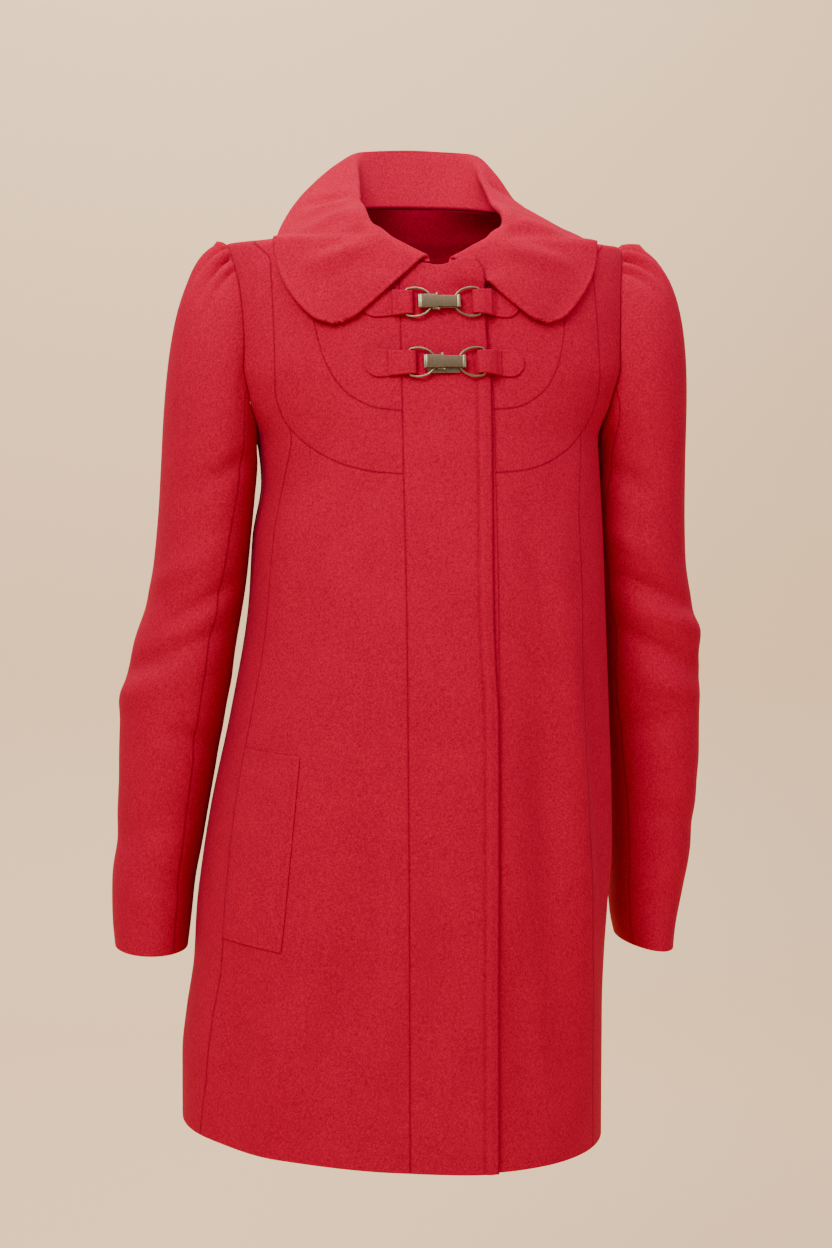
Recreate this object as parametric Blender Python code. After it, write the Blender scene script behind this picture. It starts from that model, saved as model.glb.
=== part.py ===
"""A worn, hollow duffle coat: short flared wool coat with two yokes, a fly front under two clasp
fastenings, a wide rolled collar and two-piece sleeves with pleated heads.

Blender 4.5, metres. +Z is up and the front faces -Y, so the wearer's left is +X. The origin is
midway between the two neck points of the shoulder seams. Every cloth piece is a wall of its own,
made from seam curves that its neighbours share, and each fastening lies on the pieces below it.
"""

import bpy
import bmesh
import numpy as np
from mathutils import Matrix, Vector

MM = 0.001

# Cloth and clearances
CLOTH = 2.5 * MM
COLLAR_CLOTH = 3.6 * MM
WELT_CLOTH = 1.5 * MM
TAB_CLOTH = 2.0 * MM
FLY_CLOTH = 1.5 * MM
GAP = 0.3 * MM

# Main sizes
HEM_HEIGHT = -0.8460
HEM_RISE = 0.10  # the hem rises with the square of the distance from the centre
HEM_TILT = -0.053  # the hem drops towards the wearer's left
SHOULDER_END = -0.030  # height of the shoulder points below the neck points
NECK_WIDTH = 0.073
NECK_FRONT = -0.050
NECK_BACK = 0.008
PLACKET_SEAM = -0.0395
LEFT_FRONT_SEAM = 0.022
RISE_END = 0.030  # the placket is level again from here to its edge
UNDERLAP_EDGE = -0.030
FLY_TOP = -0.160

# Free edges of the front opening: distance from the centre front at each height
EDGE_COLUMNS = ("height", "placket", "fly")
OPENING_EDGE = np.array([
    (-0.860, 0.0388, 0.0375),
    (-0.600, 0.0392, 0.0375),
    (-0.440, 0.0395, 0.0380),
    (-0.400, 0.0372, 0.0403),
    (-0.340, 0.0358, 0.0405),
    (-0.228, 0.0376, 0.0408),
    (-0.158, 0.0384, 0.0404),
    (-0.121, 0.0360, 0.0380),
    (-0.100, 0.0352, 0.0380),
    (-0.064, 0.0350, 0.0380),
    (-0.056, 0.0330, 0.0380),
    (-0.051, 0.0310, 0.0380),
    (-0.0475, 0.0275, 0.0380),
])
TOP_COLUMNS = ("across", "height")
PLACKET_TOP = np.array([
    (-0.0110, -0.0500), (0.0000, -0.0505), (0.0080, -0.0490), (0.0170, -0.0465), (0.0280, -0.0470),
])

SIDE_SEAM_DEPTH = 0.010

# Princess seams: depth at each height
PRINCESS_COLUMNS = ("height", "right", "left")
PRINCESS = np.array([
    (-0.860, -0.0500, -0.0850), (-0.806, -0.0570, -0.0860), (-0.767, -0.0630, -0.0870),
    (-0.712, -0.0640, -0.0890), (-0.645, -0.0690, -0.0990), (-0.561, -0.0650, -0.1060),
    (-0.500, -0.0610, -0.1060), (-0.443, -0.0600, -0.1050), (-0.395, -0.0600, -0.1030),
    (-0.345, -0.0605, -0.0990), (-0.305, -0.0610, -0.0950), (-0.250, -0.0570, -0.0890),
])

# Body form: half-widths, half-depths and squareness of the outline at each height
BODY_COLUMNS = ("height", "right", "left", "front", "back", "square")
BODY = np.array([
    (-0.900, 0.2270, 0.1645, 0.1500, 0.1520, 2.10),
    (-0.845, 0.2260, 0.1645, 0.1490, 0.1500, 2.10),
    (-0.767, 0.2255, 0.1645, 0.1470, 0.1490, 2.10),
    (-0.729, 0.2215, 0.1645, 0.1460, 0.1470, 2.10),
    (-0.681, 0.2140, 0.1660, 0.1450, 0.1450, 2.12),
    (-0.633, 0.2110, 0.1690, 0.1445, 0.1430, 2.15),
    (-0.586, 0.2050, 0.1730, 0.1435, 0.1400, 2.15),
    (-0.538, 0.1970, 0.1725, 0.1420, 0.1360, 2.15),
    (-0.449, 0.1775, 0.1688, 0.1390, 0.1280, 2.20),
    (-0.351, 0.1610, 0.1648, 0.1340, 0.1180, 2.20),
    (-0.290, 0.1570, 0.1625, 0.1270, 0.1120, 2.20),
    (-0.242, 0.1490, 0.1600, 0.1200, 0.1080, 2.20),
    (-0.203, 0.1530, 0.1580, 0.1150, 0.1070, 2.20),
    (-0.167, 0.1730, 0.1730, 0.1100, 0.1050, 2.20),
    (-0.136, 0.1840, 0.1840, 0.1050, 0.1020, 2.30),
    (-0.091, 0.1860, 0.1860, 0.0980, 0.0960, 2.25),
    (-0.054, 0.1850, 0.1850, 0.0890, 0.0850, 2.10),
    (-0.030, 0.1800, 0.1800, 0.0780, 0.0730, 2.00),
    (-0.0245, 0.1400, 0.1400, 0.0740, 0.0690, 2.00),
    (-0.013, 0.1120, 0.1120, 0.0690, 0.0630, 2.00),
    (0.000, 0.0730, 0.0730, 0.0620, 0.0560, 2.00),
    (0.012, 0.0450, 0.0450, 0.0550, 0.0500, 2.00),
])
CENTRE_DEPTH = -0.005

# Yoke seams, from the placket to the shoulder: distance from the centre front and height
YOKE_COLUMNS = ("across", "height")
INNER_YOKE = np.array([
    (0.0360, -0.1765), (0.0630, -0.1735), (0.0760, -0.1680), (0.0880, -0.1595),
    (0.1000, -0.1430), (0.1075, -0.1240), (0.1130, -0.0980), (0.1180, -0.0700), (0.1220, -0.0400),
])
OUTER_YOKE = np.array([
    (0.0360, -0.2310), (0.0640, -0.2290), (0.0880, -0.2235), (0.1090, -0.2130), (0.1240, -0.2010),
    (0.1390, -0.1800), (0.1450, -0.1570), (0.1457, -0.1200), (0.1465, -0.0800), (0.1470, -0.0430),
])
INNER_YOKE_SHOULDER = -0.0178
OUTER_YOKE_SHOULDER = -0.0256
LEFT_YOKE_SHIFT = -0.007  # the left yoke seams lean in towards the neck

# Armhole: an egg in side view
ARMHOLE_MIDDLE = -0.1165
ARMHOLE_HALF_HEIGHT = 0.0865
ARMHOLE_FRONT = 0.051
ARMHOLE_BACK = 0.058
ARMHOLE_EGG = 0.10

# Sleeves below the arm: one row a section
SLEEVE_COLUMNS = ("height", "centre_x", "centre_y", "half_width", "half_depth", "turn")
RIGHT_SLEEVE = np.array([
    (-0.671, 0.2524, 0.025, 0.0323, 0.0490, 1),
    (-0.647, 0.2517, 0.027, 0.0349, 0.0500, 0),
    (-0.610, 0.2493, 0.030, 0.0371, 0.0520, -2),
    (-0.572, 0.2439, 0.028, 0.0389, 0.0540, -4),
    (-0.534, 0.2394, 0.027, 0.0411, 0.0560, -5),
    (-0.497, 0.2355, 0.025, 0.0438, 0.0570, -6),
    (-0.460, 0.2314, 0.022, 0.0463, 0.0580, -7),
    (-0.422, 0.2259, 0.020, 0.0473, 0.0590, -8),
    (-0.386, 0.2187, 0.018, 0.0455, 0.0600, -9),
    (-0.349, 0.2092, 0.015, 0.0424, 0.0600, -9),
    (-0.312, 0.2040, 0.012, 0.0418, 0.0610, -8),
    (-0.276, 0.2005, 0.010, 0.0417, 0.0620, -4),
    (-0.225, 0.1965, 0.006, 0.0425, 0.0640, 4),
])
LEFT_SLEEVE = np.array([
    (-0.686, 0.2207, 0.031, 0.0245, 0.0530, 18),
    (-0.669, 0.2198, 0.032, 0.0275, 0.0530, 17),
    (-0.631, 0.2230, 0.035, 0.0330, 0.0530, 16),
    (-0.591, 0.2256, 0.033, 0.0374, 0.0540, 18),
    (-0.552, 0.2268, 0.032, 0.0402, 0.0560, 21),
    (-0.513, 0.2265, 0.030, 0.0427, 0.0570, 24),
    (-0.474, 0.2238, 0.028, 0.0450, 0.0580, 26),
    (-0.435, 0.2215, 0.025, 0.0463, 0.0590, 27),
    (-0.396, 0.2205, 0.022, 0.0468, 0.0600, 27),
    (-0.357, 0.2135, 0.020, 0.0445, 0.0600, 28),
    (-0.319, 0.2072, 0.018, 0.0435, 0.0610, 28),
    (-0.281, 0.2050, 0.015, 0.0432, 0.0620, 29),
    (-0.225, 0.2030, 0.012, 0.0440, 0.0640, 20),
])
FRONT_SEAM_ANGLE = 120.0  # round the sleeve from its outer side, over the front
BACK_SEAM_ANGLE = 240.0
CAP_RISE = {"right": -0.20, "left": 0.10}  # slope of the sleeve head where it leaves the shoulder
CAP_FULLNESS = {"right": 0.80, "left": 1.05}
ARM_ROOM = 4.3 * MM  # from the body form to the middle of the sleeve's wall beside it
UNDERARM_ROOM = 1.9 * MM  # more below the armhole, where the form is hollow
CUFF_TILT = {"right": 0.0, "left": -0.15}

# Pleats of the sleeve head: distance along the armhole from the shoulder point, depth, half-width
PLEAT_COLUMNS = ("along", "depth", "half_width")
PLEATS = np.array([
    (0.0105, 0.0040, 0.0045),
    (0.0210, 0.0040, 0.0045),
    (0.0315, 0.0030, 0.0045),
])
PLEAT_START = 0.004
PLEAT_LENGTH = 0.055

# Collar sections from the right front end round the back to the left front end: the place on the
# neckline, the roll, the free edge and how far the leaf bows out
COLLAR_COLUMNS = ("seam_angle", "roll_x", "roll_y", "roll_z", "edge_x", "edge_y", "edge_z", "crown")
COLLAR = np.array([
    (-8.7, -0.0120, -0.0870, -0.0420, -0.0880, -0.1010, -0.1010, 0.002),
    (-26.0, -0.0320, -0.0765, -0.0320, -0.1075, -0.0975, -0.0930, 0.003),
    (-44.0, -0.0480, -0.0620, -0.0240, -0.1285, -0.0830, -0.0680, 0.004),
    (-58.0, -0.0550, -0.0480, -0.0140, -0.1370, -0.0625, -0.0475, 0.004),
    (-70.0, -0.0560, -0.0320, -0.0030, -0.1385, -0.0420, -0.0285, 0.004),
    (-84.0, -0.0580, -0.0120, 0.0150, -0.1325, -0.0200, -0.0115, 0.003),
    (-102.0, -0.0560, 0.0120, 0.0310, -0.1180, 0.0080, 0.0110, 0.002),
    (-120.0, -0.0560, 0.0300, 0.0450, -0.0945, 0.0340, 0.0310, 0.001),
    (-136.0, -0.0550, 0.0460, 0.0550, -0.0725, 0.0480, 0.0480, 0.000),
    (-154.0, -0.0450, 0.0585, 0.0580, -0.0475, 0.0600, 0.0610, 0.000),
    (-180.0, 0.0000, 0.0690, 0.0570, 0.0000, 0.0730, 0.0640, 0.000),
    (-206.0, 0.0530, 0.0560, 0.0570, 0.0560, 0.0600, 0.0600, 0.000),
    (-226.0, 0.0575, 0.0430, 0.0510, 0.0760, 0.0450, 0.0400, 0.000),
    (-241.0, 0.0560, 0.0280, 0.0400, 0.0915, 0.0230, 0.0110, 0.001),
    (-256.0, 0.0555, 0.0120, 0.0300, 0.1090, 0.0050, -0.0075, 0.002),
    (-272.0, 0.0555, -0.0100, 0.0150, 0.1390, -0.0200, -0.0200, 0.003),
    (-286.0, 0.0550, -0.0350, -0.0030, 0.1440, -0.0450, -0.0310, 0.004),
    (-300.0, 0.0510, -0.0560, -0.0190, 0.1390, -0.0620, -0.0455, 0.004),
    (-316.0, 0.0400, -0.0680, -0.0270, 0.1225, -0.0830, -0.0665, 0.003),
    (-336.0, 0.0220, -0.0775, -0.0350, 0.1010, -0.0960, -0.0905, 0.002),
    (-356.0, 0.0060, -0.0870, -0.0430, 0.0840, -0.1010, -0.1005, 0.002),
])
COLLAR_ROLL = 0.010
TIP_ROUNDING = {"right": 0.0040, "left": 0.0065}

# Pocket welt on the right princess seam: its corners' heights and its front edge
WELT_TOP = -0.476
WELT_BOTTOM = -0.645
WELT_DROP_TOP = -0.0015  # its front corners are lower than those at the seam
WELT_DROP_BOTTOM = -0.0055
WELT_FRONT_TOP = 0.1290
WELT_FRONT_BOTTOM = 0.1470
WELT_LIFT = 0.5 * MM

# Fastenings: one row each. Folds are the lengths of tab turned back through the rings.
FASTENING_COLUMNS = ("height", "middle", "reach", "clasp_shift", "right_fold", "left_fold")
FASTENINGS = {
    "upper": (-0.0838, -0.0030, 0.0263, -0.0036, 0.0170, 0.0160),
    "lower": (-0.1353, -0.0010, 0.0267, -0.0023, 0.0235, 0.0220),
}
TAB_LENGTH = 0.0435
TAB_WIDTH = 0.0240
LOOP_WIDTH = 0.0200
WIRE = 2.2 * MM
RING_HEIGHT = 0.0275
RING_DEPTH = 0.0250
LOOP = 0.0060  # from the ring's straight side to the end of the tab's loop
CLASP_LENGTH = 0.0380
CLASP_WIDTH = 0.0100
CLASP_THICKNESS = 7.0 * MM
CLASP_WALL = 1.6 * MM
CLASP_ROUNDING = 0.4 * MM

# Segments along the seams: pieces that share a seam share its points
INNER_YOKE_ROWS = 2
OUTER_YOKE_ROWS = 2
FRONT_ROWS = 15
YOKE_SEGMENTS = 17
PRINCESS_SEGMENT = 6  # the yoke seam's segments before the princess seam
SIDE_COLUMNS = 4
ARMHOLE_SEGMENTS = 9
ROW_GROWTH = 1.15  # rows are closer above the waist
SIDE_SEAM_SEGMENTS = FRONT_ROWS + YOKE_SEGMENTS - PRINCESS_SEGMENT - ARMHOLE_SEGMENTS
BACK_NECK_SEGMENTS = 8
OPENING_COLUMNS = (-0.015, 0.010)  # shared by the placket, the fly layer and the underlap
SLEEVE_HEAD_ROWS = 6
SLEEVE_ROWS = 12
HEAD_SPLITS = 4  # sleeve columns in each armhole segment under the pleats
PLEATED_SEGMENTS = 2

# Finishes: name, colour, roughness, metallic
WOOL = ("scarlet_wool", (0.52, 0.012, 0.028), 0.9, 0.0)
BRASS = ("antique_brass", (0.42, 0.33, 0.20), 0.4, 1.0)


# ---------------------------------------------------------------- curves and the body's form

def through_rows(rows, at):
    """Values between a table's rows, with no overshoot; the first column is where each row is."""
    place, values = rows[:, 0], rows[:, 1:]
    span = np.diff(place)[:, None]
    rate = np.diff(values, axis=0) / span
    before, after = rate[:-1], rate[1:]
    weight_before = 2 * span[1:] + span[:-1]
    weight_after = span[1:] + 2 * span[:-1]
    turning = before * after <= 0
    safe_before = np.where(turning, 1.0, before)
    safe_after = np.where(turning, 1.0, after)
    mean = (weight_before + weight_after) / (weight_before / safe_before + weight_after / safe_after)
    slope = np.concatenate([rate[:1], np.where(turning, 0.0, mean), rate[-1:]])
    at = np.clip(np.asarray(at, float), place[0], place[-1])
    row = np.clip(np.searchsorted(place, at) - 1, 0, len(place) - 2)
    part = ((at - place[row]) / span[row, 0])[..., None]
    step = span[row]
    return (
        (2 * part**3 - 3 * part**2 + 1) * values[row]
        + (part**3 - 2 * part**2 + part) * step * slope[row]
        + (3 * part**2 - 2 * part**3) * values[row + 1]
        + (part**3 - part**2) * step * slope[row + 1]
    )


def smooth(share):
    share = np.clip(share, 0, 1)
    return share * share * (3 - 2 * share)


def outline_at(points):
    """Half-width, half-depth and squareness of the body form beside each point."""
    columns = through_rows(BODY, points[..., 2])
    width = np.where(points[..., 0] < 0, columns[..., 0], columns[..., 1])
    depth = np.where(points[..., 1] < CENTRE_DEPTH, columns[..., 2], columns[..., 3])
    return width, depth, columns[..., 4]


def form(points):
    """Zero on the body form, negative inside it."""
    width, depth, square = outline_at(points)
    across = np.abs(points[..., 0]) / width
    deep = np.abs(points[..., 1] - CENTRE_DEPTH) / depth
    return (across**square + deep**square + 1e-12) ** (1 / square) - 1


def form_slope(points):
    step = 0.1 * MM
    sides = [(form(points + step * axis) - form(points - step * axis)) / (2 * step)
             for axis in np.eye(3)]
    return np.stack(sides, axis=-1)


def outward(points):
    """The form's outward direction at each point, which every wall takes its thickness along."""
    slope = form_slope(points)
    return slope / np.linalg.norm(slope, axis=-1, keepdims=True)


def settle(points):
    """Moves points onto the body form by Newton's steps along its slope."""
    for _ in range(14):
        slope = form_slope(points)
        points = points - (form(points) / (slope**2).sum(-1))[..., None] * slope
    return points


def keep_off(points, least):
    """Moves points that are nearer to the body form than least outwards to that distance."""
    for _ in range(3):
        slope = form_slope(points)
        steep = np.linalg.norm(slope, axis=-1)
        short = np.maximum(least - form(points) / steep, 0)
        points = points + short[..., None] * slope / steep[..., None]
    return points


def front_point(across, height):
    """The point of the form's front at this distance from the centre front and this height."""
    across, height = np.broadcast_arrays(np.asarray(across, float), np.asarray(height, float))
    probe = np.stack([across, np.full(across.shape, -1.0), height], axis=-1)
    width, depth, square = outline_at(probe)
    share = np.clip(1 - (np.abs(across) / width) ** square, 0, 1) ** (1 / square)
    return np.stack([across, CENTRE_DEPTH - depth * share, height], axis=-1)


def side_point(side, deep, height):
    """The point of the form's side (-1 right, 1 left) at this depth and height."""
    deep, height = np.broadcast_arrays(np.asarray(deep, float), np.asarray(height, float))
    probe = np.stack([np.full(deep.shape, float(side)), deep, height], axis=-1)
    width, depth, square = outline_at(probe)
    share = np.clip(1 - (np.abs(deep - CENTRE_DEPTH) / depth) ** square, 0, 1) ** (1 / square)
    return np.stack([side * width * share, deep, height], axis=-1)


def evenly(points, segments, growth=1.0):
    """The same curve as a count of pieces, equal in length or longer towards its end."""
    step = np.linalg.norm(np.diff(points[:, :3], axis=0), axis=1)
    length = np.concatenate([[0], np.cumsum(step)])
    at = np.linspace(0, 1, segments + 1) ** growth * length[-1]
    return np.stack([np.interp(at, length, column) for column in points.T], axis=1)


# ---------------------------------------------------------------- seams

FINE = np.linspace(0, 1, 241)


def hem_height(across):
    return HEM_HEIGHT + HEM_TILT * across + HEM_RISE * across**2


def shoulder_seam(side, start, end, segments):
    """Along the shoulder between two heights, on the ridge of the form."""
    height = start + (end - start) * FINE
    return evenly(side_point(side, np.full(FINE.shape, CENTRE_DEPTH), height), segments)


def yoke_seam(side, rows, shoulder_height, segments):
    """A yoke seam from the centre piece round to the shoulder seam."""
    start = rows[0].copy()
    start[0] = LEFT_FRONT_SEAM if side > 0 else -PLACKET_SEAM
    rows = np.vstack([start, rows[1:]])
    index = np.arange(len(rows))[:, None]
    flat = through_rows(np.hstack([index, rows]), FINE * (len(rows) - 1))
    across = flat[:, 0]
    if side > 0:
        lean = np.clip((flat[:, 1] + 0.150) / 0.110, 0, 1)
        across = across + LEFT_YOKE_SHIFT * lean
    front = front_point(side * across, flat[:, 1])
    end = side_point(side, CENTRE_DEPTH, shoulder_height)
    return evenly(settle(np.vstack([front, front[-1] + (end - front[-1]) * 0.5, end])), segments)


def neck_curve(start, end, segments):
    """The neckline between two angles from the centre front, positive to the left, with them."""
    angle = np.radians(start + (end - start) * FINE)
    facing = np.cos(angle)
    across = NECK_WIDTH * np.sin(angle)
    height = np.where(facing > 0, NECK_FRONT * np.abs(facing) ** 1.3,
                      NECK_BACK * np.abs(facing) ** 1.3)
    probe = np.stack([across, np.where(facing > 0, -1.0, 1.0), height], axis=-1)
    width, depth, square = outline_at(probe)
    share = np.clip(1 - (np.abs(across) / width) ** square, 0, 1) ** (1 / square)
    deep = CENTRE_DEPTH - np.sign(facing) * depth * share
    return evenly(np.stack([across, deep, height, start + (end - start) * FINE], axis=-1), segments)


def neck_angle(across):
    return np.degrees(np.arcsin(across / NECK_WIDTH))


def neck_height(across):
    return NECK_FRONT * (1 - (across / NECK_WIDTH) ** 2) ** 0.65


def armhole(side, front, segments):
    """Front or back half of the armhole, from the shoulder point down to the underarm."""
    angle = np.pi * FINE
    reach = -ARMHOLE_FRONT if front else ARMHOLE_BACK
    height = ARMHOLE_MIDDLE + ARMHOLE_HALF_HEIGHT * np.cos(angle)
    deep = CENTRE_DEPTH * (1 - FINE) + reach * np.sin(angle) * (1 - ARMHOLE_EGG * np.cos(angle))
    return evenly(side_point(side, deep, height), segments)


def side_seam(side, segments):
    start = ARMHOLE_MIDDLE - ARMHOLE_HALF_HEIGHT
    reach = side_point(side, SIDE_SEAM_DEPTH, HEM_HEIGHT)[0]
    height = start + (hem_height(reach) - start) * FINE
    return evenly(side_point(side, SIDE_SEAM_DEPTH * FINE**0.3, height), segments, ROW_GROWTH)


def princess_seam(side, start, segments):
    """From its start on the outer yoke seam down to the hem."""
    reach = side_point(side, PRINCESS[0, 1 if side < 0 else 2], HEM_HEIGHT)[0]
    height = start[2] + (hem_height(reach) - start[2]) * FINE
    deep = through_rows(PRINCESS, height)[:, 0 if side < 0 else 1]
    deep = start[1] + (deep - start[1]) * smooth((start[2] - height) / 0.07)
    return evenly(side_point(side, deep, height), segments, ROW_GROWTH)


def straight_edge(across, start, end, segments, growth=1.0):
    """A line down the front at one distance from the centre."""
    return evenly(front_point(across, start + (end - start) * FINE), segments, growth)


def hem_curve(start, end, segments, back=False):
    """Along the hem between two points of it."""
    middle = np.array([0, CENTRE_DEPTH, HEM_HEIGHT])
    sign = 1 if back else -1
    first = np.arctan2(start[0] - middle[0], sign * (start[1] - middle[1]))
    last = np.arctan2(end[0] - middle[0], sign * (end[1] - middle[1]))
    angle = first + (last - first) * FINE
    reach = 0.3
    for _ in range(12):
        points = np.stack([reach * np.sin(angle), middle[1] + sign * reach * np.cos(angle),
                           hem_height(reach * np.sin(angle))], axis=-1)
        reach = reach / (1 + form(points))
    points[0], points[-1] = start, end
    return evenly(points, segments)


# ---------------------------------------------------------------- solids

def patch(top, bottom, left, right):
    """A grid of points between four seams, blended from its sides and settled on the form."""
    across = np.linspace(0, 1, len(top))[None, :, None]
    down = np.linspace(0, 1, len(left))[:, None, None]
    sides = (1 - across) * left[:, None] + across * right[:, None]
    ends = (1 - down) * top[None] + down * bottom[None]
    corners = (
        (1 - across) * (1 - down) * top[0] + across * (1 - down) * top[-1]
        + (1 - across) * down * bottom[0] + across * down * bottom[-1]
    )
    return settle(sides + ends - corners)


def border_shift(grid, border, inner, distance):
    """The inward move of one border row, square to it."""
    along = np.gradient(grid[border], axis=0)
    along /= np.linalg.norm(along, axis=1, keepdims=True)
    inwards = grid[inner] - grid[border]
    inwards = inwards - (inwards * along).sum(1, keepdims=True) * along
    return distance * inwards / np.linalg.norm(inwards, axis=1, keepdims=True)


def draw_in(points, distance):
    """Pulls a grid's four borders inwards, which leaves the gap at its seams."""
    moved = points.copy()
    turned = points.transpose(1, 0, 2)
    ends = {border: border_shift(points, border, inner, distance)
            for border, inner in ((0, 1), (-1, -2))}
    sides = {border: border_shift(turned, border, inner, distance)
             for border, inner in ((0, 1), (-1, -2))}
    for border in (0, -1):
        moved[border] += ends[border]
        moved[:, border] += sides[border]
    for row in (0, -1):
        for column in (0, -1):
            first, second = ends[row][column], sides[column][row]
            closeness = 1 + (first * second).sum() / distance**2
            moved[row, column] = points[row, column] + (first + second) / max(closeness, 0.03)
    return moved


def grid_normals(points):
    """Unit normals of a grid of points, from its own rows and columns."""
    across = np.gradient(points, axis=1)
    down = np.gradient(points, axis=0)
    normal = np.cross(across, down)
    return normal / np.linalg.norm(normal, axis=-1, keepdims=True)


def piece_material(piece, finish):
    """A piece's own material in one of the finishes."""
    finish_name, colour, roughness, metallic = finish
    material = bpy.data.materials.new(f"{piece}_{finish_name}")
    material.use_nodes = True
    shader = material.node_tree.nodes["Principled BSDF"]
    shader.inputs["Base Color"].default_value = (*colour, 1)
    shader.inputs["Roughness"].default_value = roughness
    shader.inputs["Metallic"].default_value = metallic
    return material


def add_object(name, data, finish, collection):
    data.materials.append(piece_material(name, finish))
    piece = bpy.data.objects.new(name, data)
    collection.objects.link(piece)
    return piece


def wall(name, points, normals, thickness, collection, outer_depth=None):
    """One closed wall: a grid of points with its two faces set off along the normals."""
    rows, columns = points.shape[:2]
    if outer_depth is None:
        outer_depth = np.full((rows, columns), thickness / 2)
    outer = points + normals * outer_depth[..., None]
    inner = points - normals * thickness / 2
    index = np.arange(rows * columns).reshape(rows, columns)
    below = index + rows * columns

    def quads(a, b, c, d):
        return np.stack([a.ravel(), b.ravel(), c.ravel(), d.ravel()], axis=1)

    def rim(first, second):
        """Edge faces, split the same way by both neighbours at a seam: from the upper outer corner."""
        place = points.reshape(-1, 3) @ np.array([0.13, 0.07, 1.0])
        upper = place[first] > place[second]
        a = np.where(upper, first, second)
        b = np.where(upper, second, first)
        return quads(a, b, b + rows * columns, a + rows * columns)

    faces = [
        quads(index[:-1, :-1], index[1:, :-1], index[1:, 1:], index[:-1, 1:]),
        quads(below[:-1, :-1], below[:-1, 1:], below[1:, 1:], below[1:, :-1]),
        rim(index[0, :-1], index[0, 1:]),
        rim(index[-1, :-1], index[-1, 1:]),
        rim(index[:-1, 0], index[1:, 0]),
        rim(index[:-1, -1], index[1:, -1]),
    ]
    corners = np.concatenate([outer.reshape(-1, 3), inner.reshape(-1, 3)])
    mesh = bpy.data.meshes.new(name)
    mesh.from_pydata(corners.tolist(), [], np.concatenate(faces).tolist())
    shaped = bmesh.new()
    shaped.from_mesh(mesh)
    bmesh.ops.recalc_face_normals(shaped, faces=shaped.faces)
    shaped.to_mesh(mesh)
    shaped.free()
    mesh.shade_smooth()
    mesh.set_sharp_from_angle(angle=np.radians(40))
    return add_object(name, mesh, WOOL, collection)


# ---------------------------------------------------------------- layers of the front opening

PLACKET_RISE = CLOTH + FLY_CLOTH + 3.5 * GAP


def rise_share(across):
    """0 at the placket seam to 1 where the placket is level again."""
    return np.clip((across - PLACKET_SEAM) / (RISE_END - PLACKET_SEAM), 0, 1)


def collar_room(points):
    """The placket's top corner bows out over the collar's left end, which passes under it."""
    return 5.4 * MM * smooth((points[..., 2] + 0.071) / 0.009) * smooth((points[..., 0] + 0.006) / 0.018)


def placket_level(points):
    return PLACKET_RISE * rise_share(points[..., 0]) + collar_room(points)


def underlap_level(points):
    return PLACKET_RISE * (rise_share(points[..., 0]) - 1)


def front_seams(side):
    """The seams of one front half, with the points that its pieces share."""
    centre = LEFT_FRONT_SEAM if side > 0 else PLACKET_SEAM
    inner = yoke_seam(side, INNER_YOKE, INNER_YOKE_SHOULDER, YOKE_SEGMENTS)
    outer = yoke_seam(side, OUTER_YOKE, OUTER_YOKE_SHOULDER, YOKE_SEGMENTS)
    neck = neck_curve(neck_angle(centre), side * 90, YOKE_SEGMENTS)[:, :3]
    hem_start = front_point(centre, hem_height(centre))
    return {
        "neck": neck,
        "inner": inner,
        "outer": outer,
        "centre_inner": straight_edge(centre, neck[0, 2], inner[0, 2], INNER_YOKE_ROWS),
        "centre_outer": straight_edge(centre, inner[0, 2], outer[0, 2], OUTER_YOKE_ROWS),
        "centre_front": straight_edge(
            centre, outer[0, 2], hem_start[2], FRONT_ROWS, ROW_GROWTH),
        "shoulder_inner": shoulder_seam(side, 0, INNER_YOKE_SHOULDER, INNER_YOKE_ROWS),
        "shoulder_outer": shoulder_seam(
            side, INNER_YOKE_SHOULDER, OUTER_YOKE_SHOULDER, OUTER_YOKE_ROWS),
        "shoulder_side": shoulder_seam(side, OUTER_YOKE_SHOULDER, SHOULDER_END, SIDE_COLUMNS),
        "princess": princess_seam(side, outer[PRINCESS_SEGMENT], FRONT_ROWS),
        "armhole": armhole(side, True, ARMHOLE_SEGMENTS),
        "side": side_seam(side, SIDE_SEAM_SEGMENTS),
    }


def chain(*curves):
    """Curves joined end to end, their shared points once."""
    return np.concatenate([curves[0]] + [curve[1:] for curve in curves[1:]])


def add_front(side, label, collection):
    """The yokes, front and side front of one half."""
    seams = front_seams(side)
    panels = {
        "inner_yoke": patch(seams["neck"], seams["inner"],
                            seams["centre_inner"], seams["shoulder_inner"]),
        "outer_yoke": patch(seams["inner"], seams["outer"],
                            seams["centre_outer"], seams["shoulder_outer"]),
        "front": patch(
            seams["outer"][:PRINCESS_SEGMENT + 1],
            hem_curve(seams["centre_front"][-1], seams["princess"][-1], PRINCESS_SEGMENT),
            seams["centre_front"], seams["princess"]),
        "side_front": patch(
            seams["shoulder_side"],
            hem_curve(seams["princess"][-1], seams["side"][-1], SIDE_COLUMNS),
            chain(seams["outer"][PRINCESS_SEGMENT:][::-1], seams["princess"]),
            chain(seams["armhole"], seams["side"])),
    }
    for piece, grid in panels.items():
        grid = draw_in(grid, GAP / 2)
        away = outward(grid)
        level = underlap_level(grid) if side > 0 else np.zeros(grid.shape[:2])
        wall(f"{label}_{piece}", grid + away * level[..., None], away, CLOTH, collection)
    return seams, panels["front"]


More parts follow.
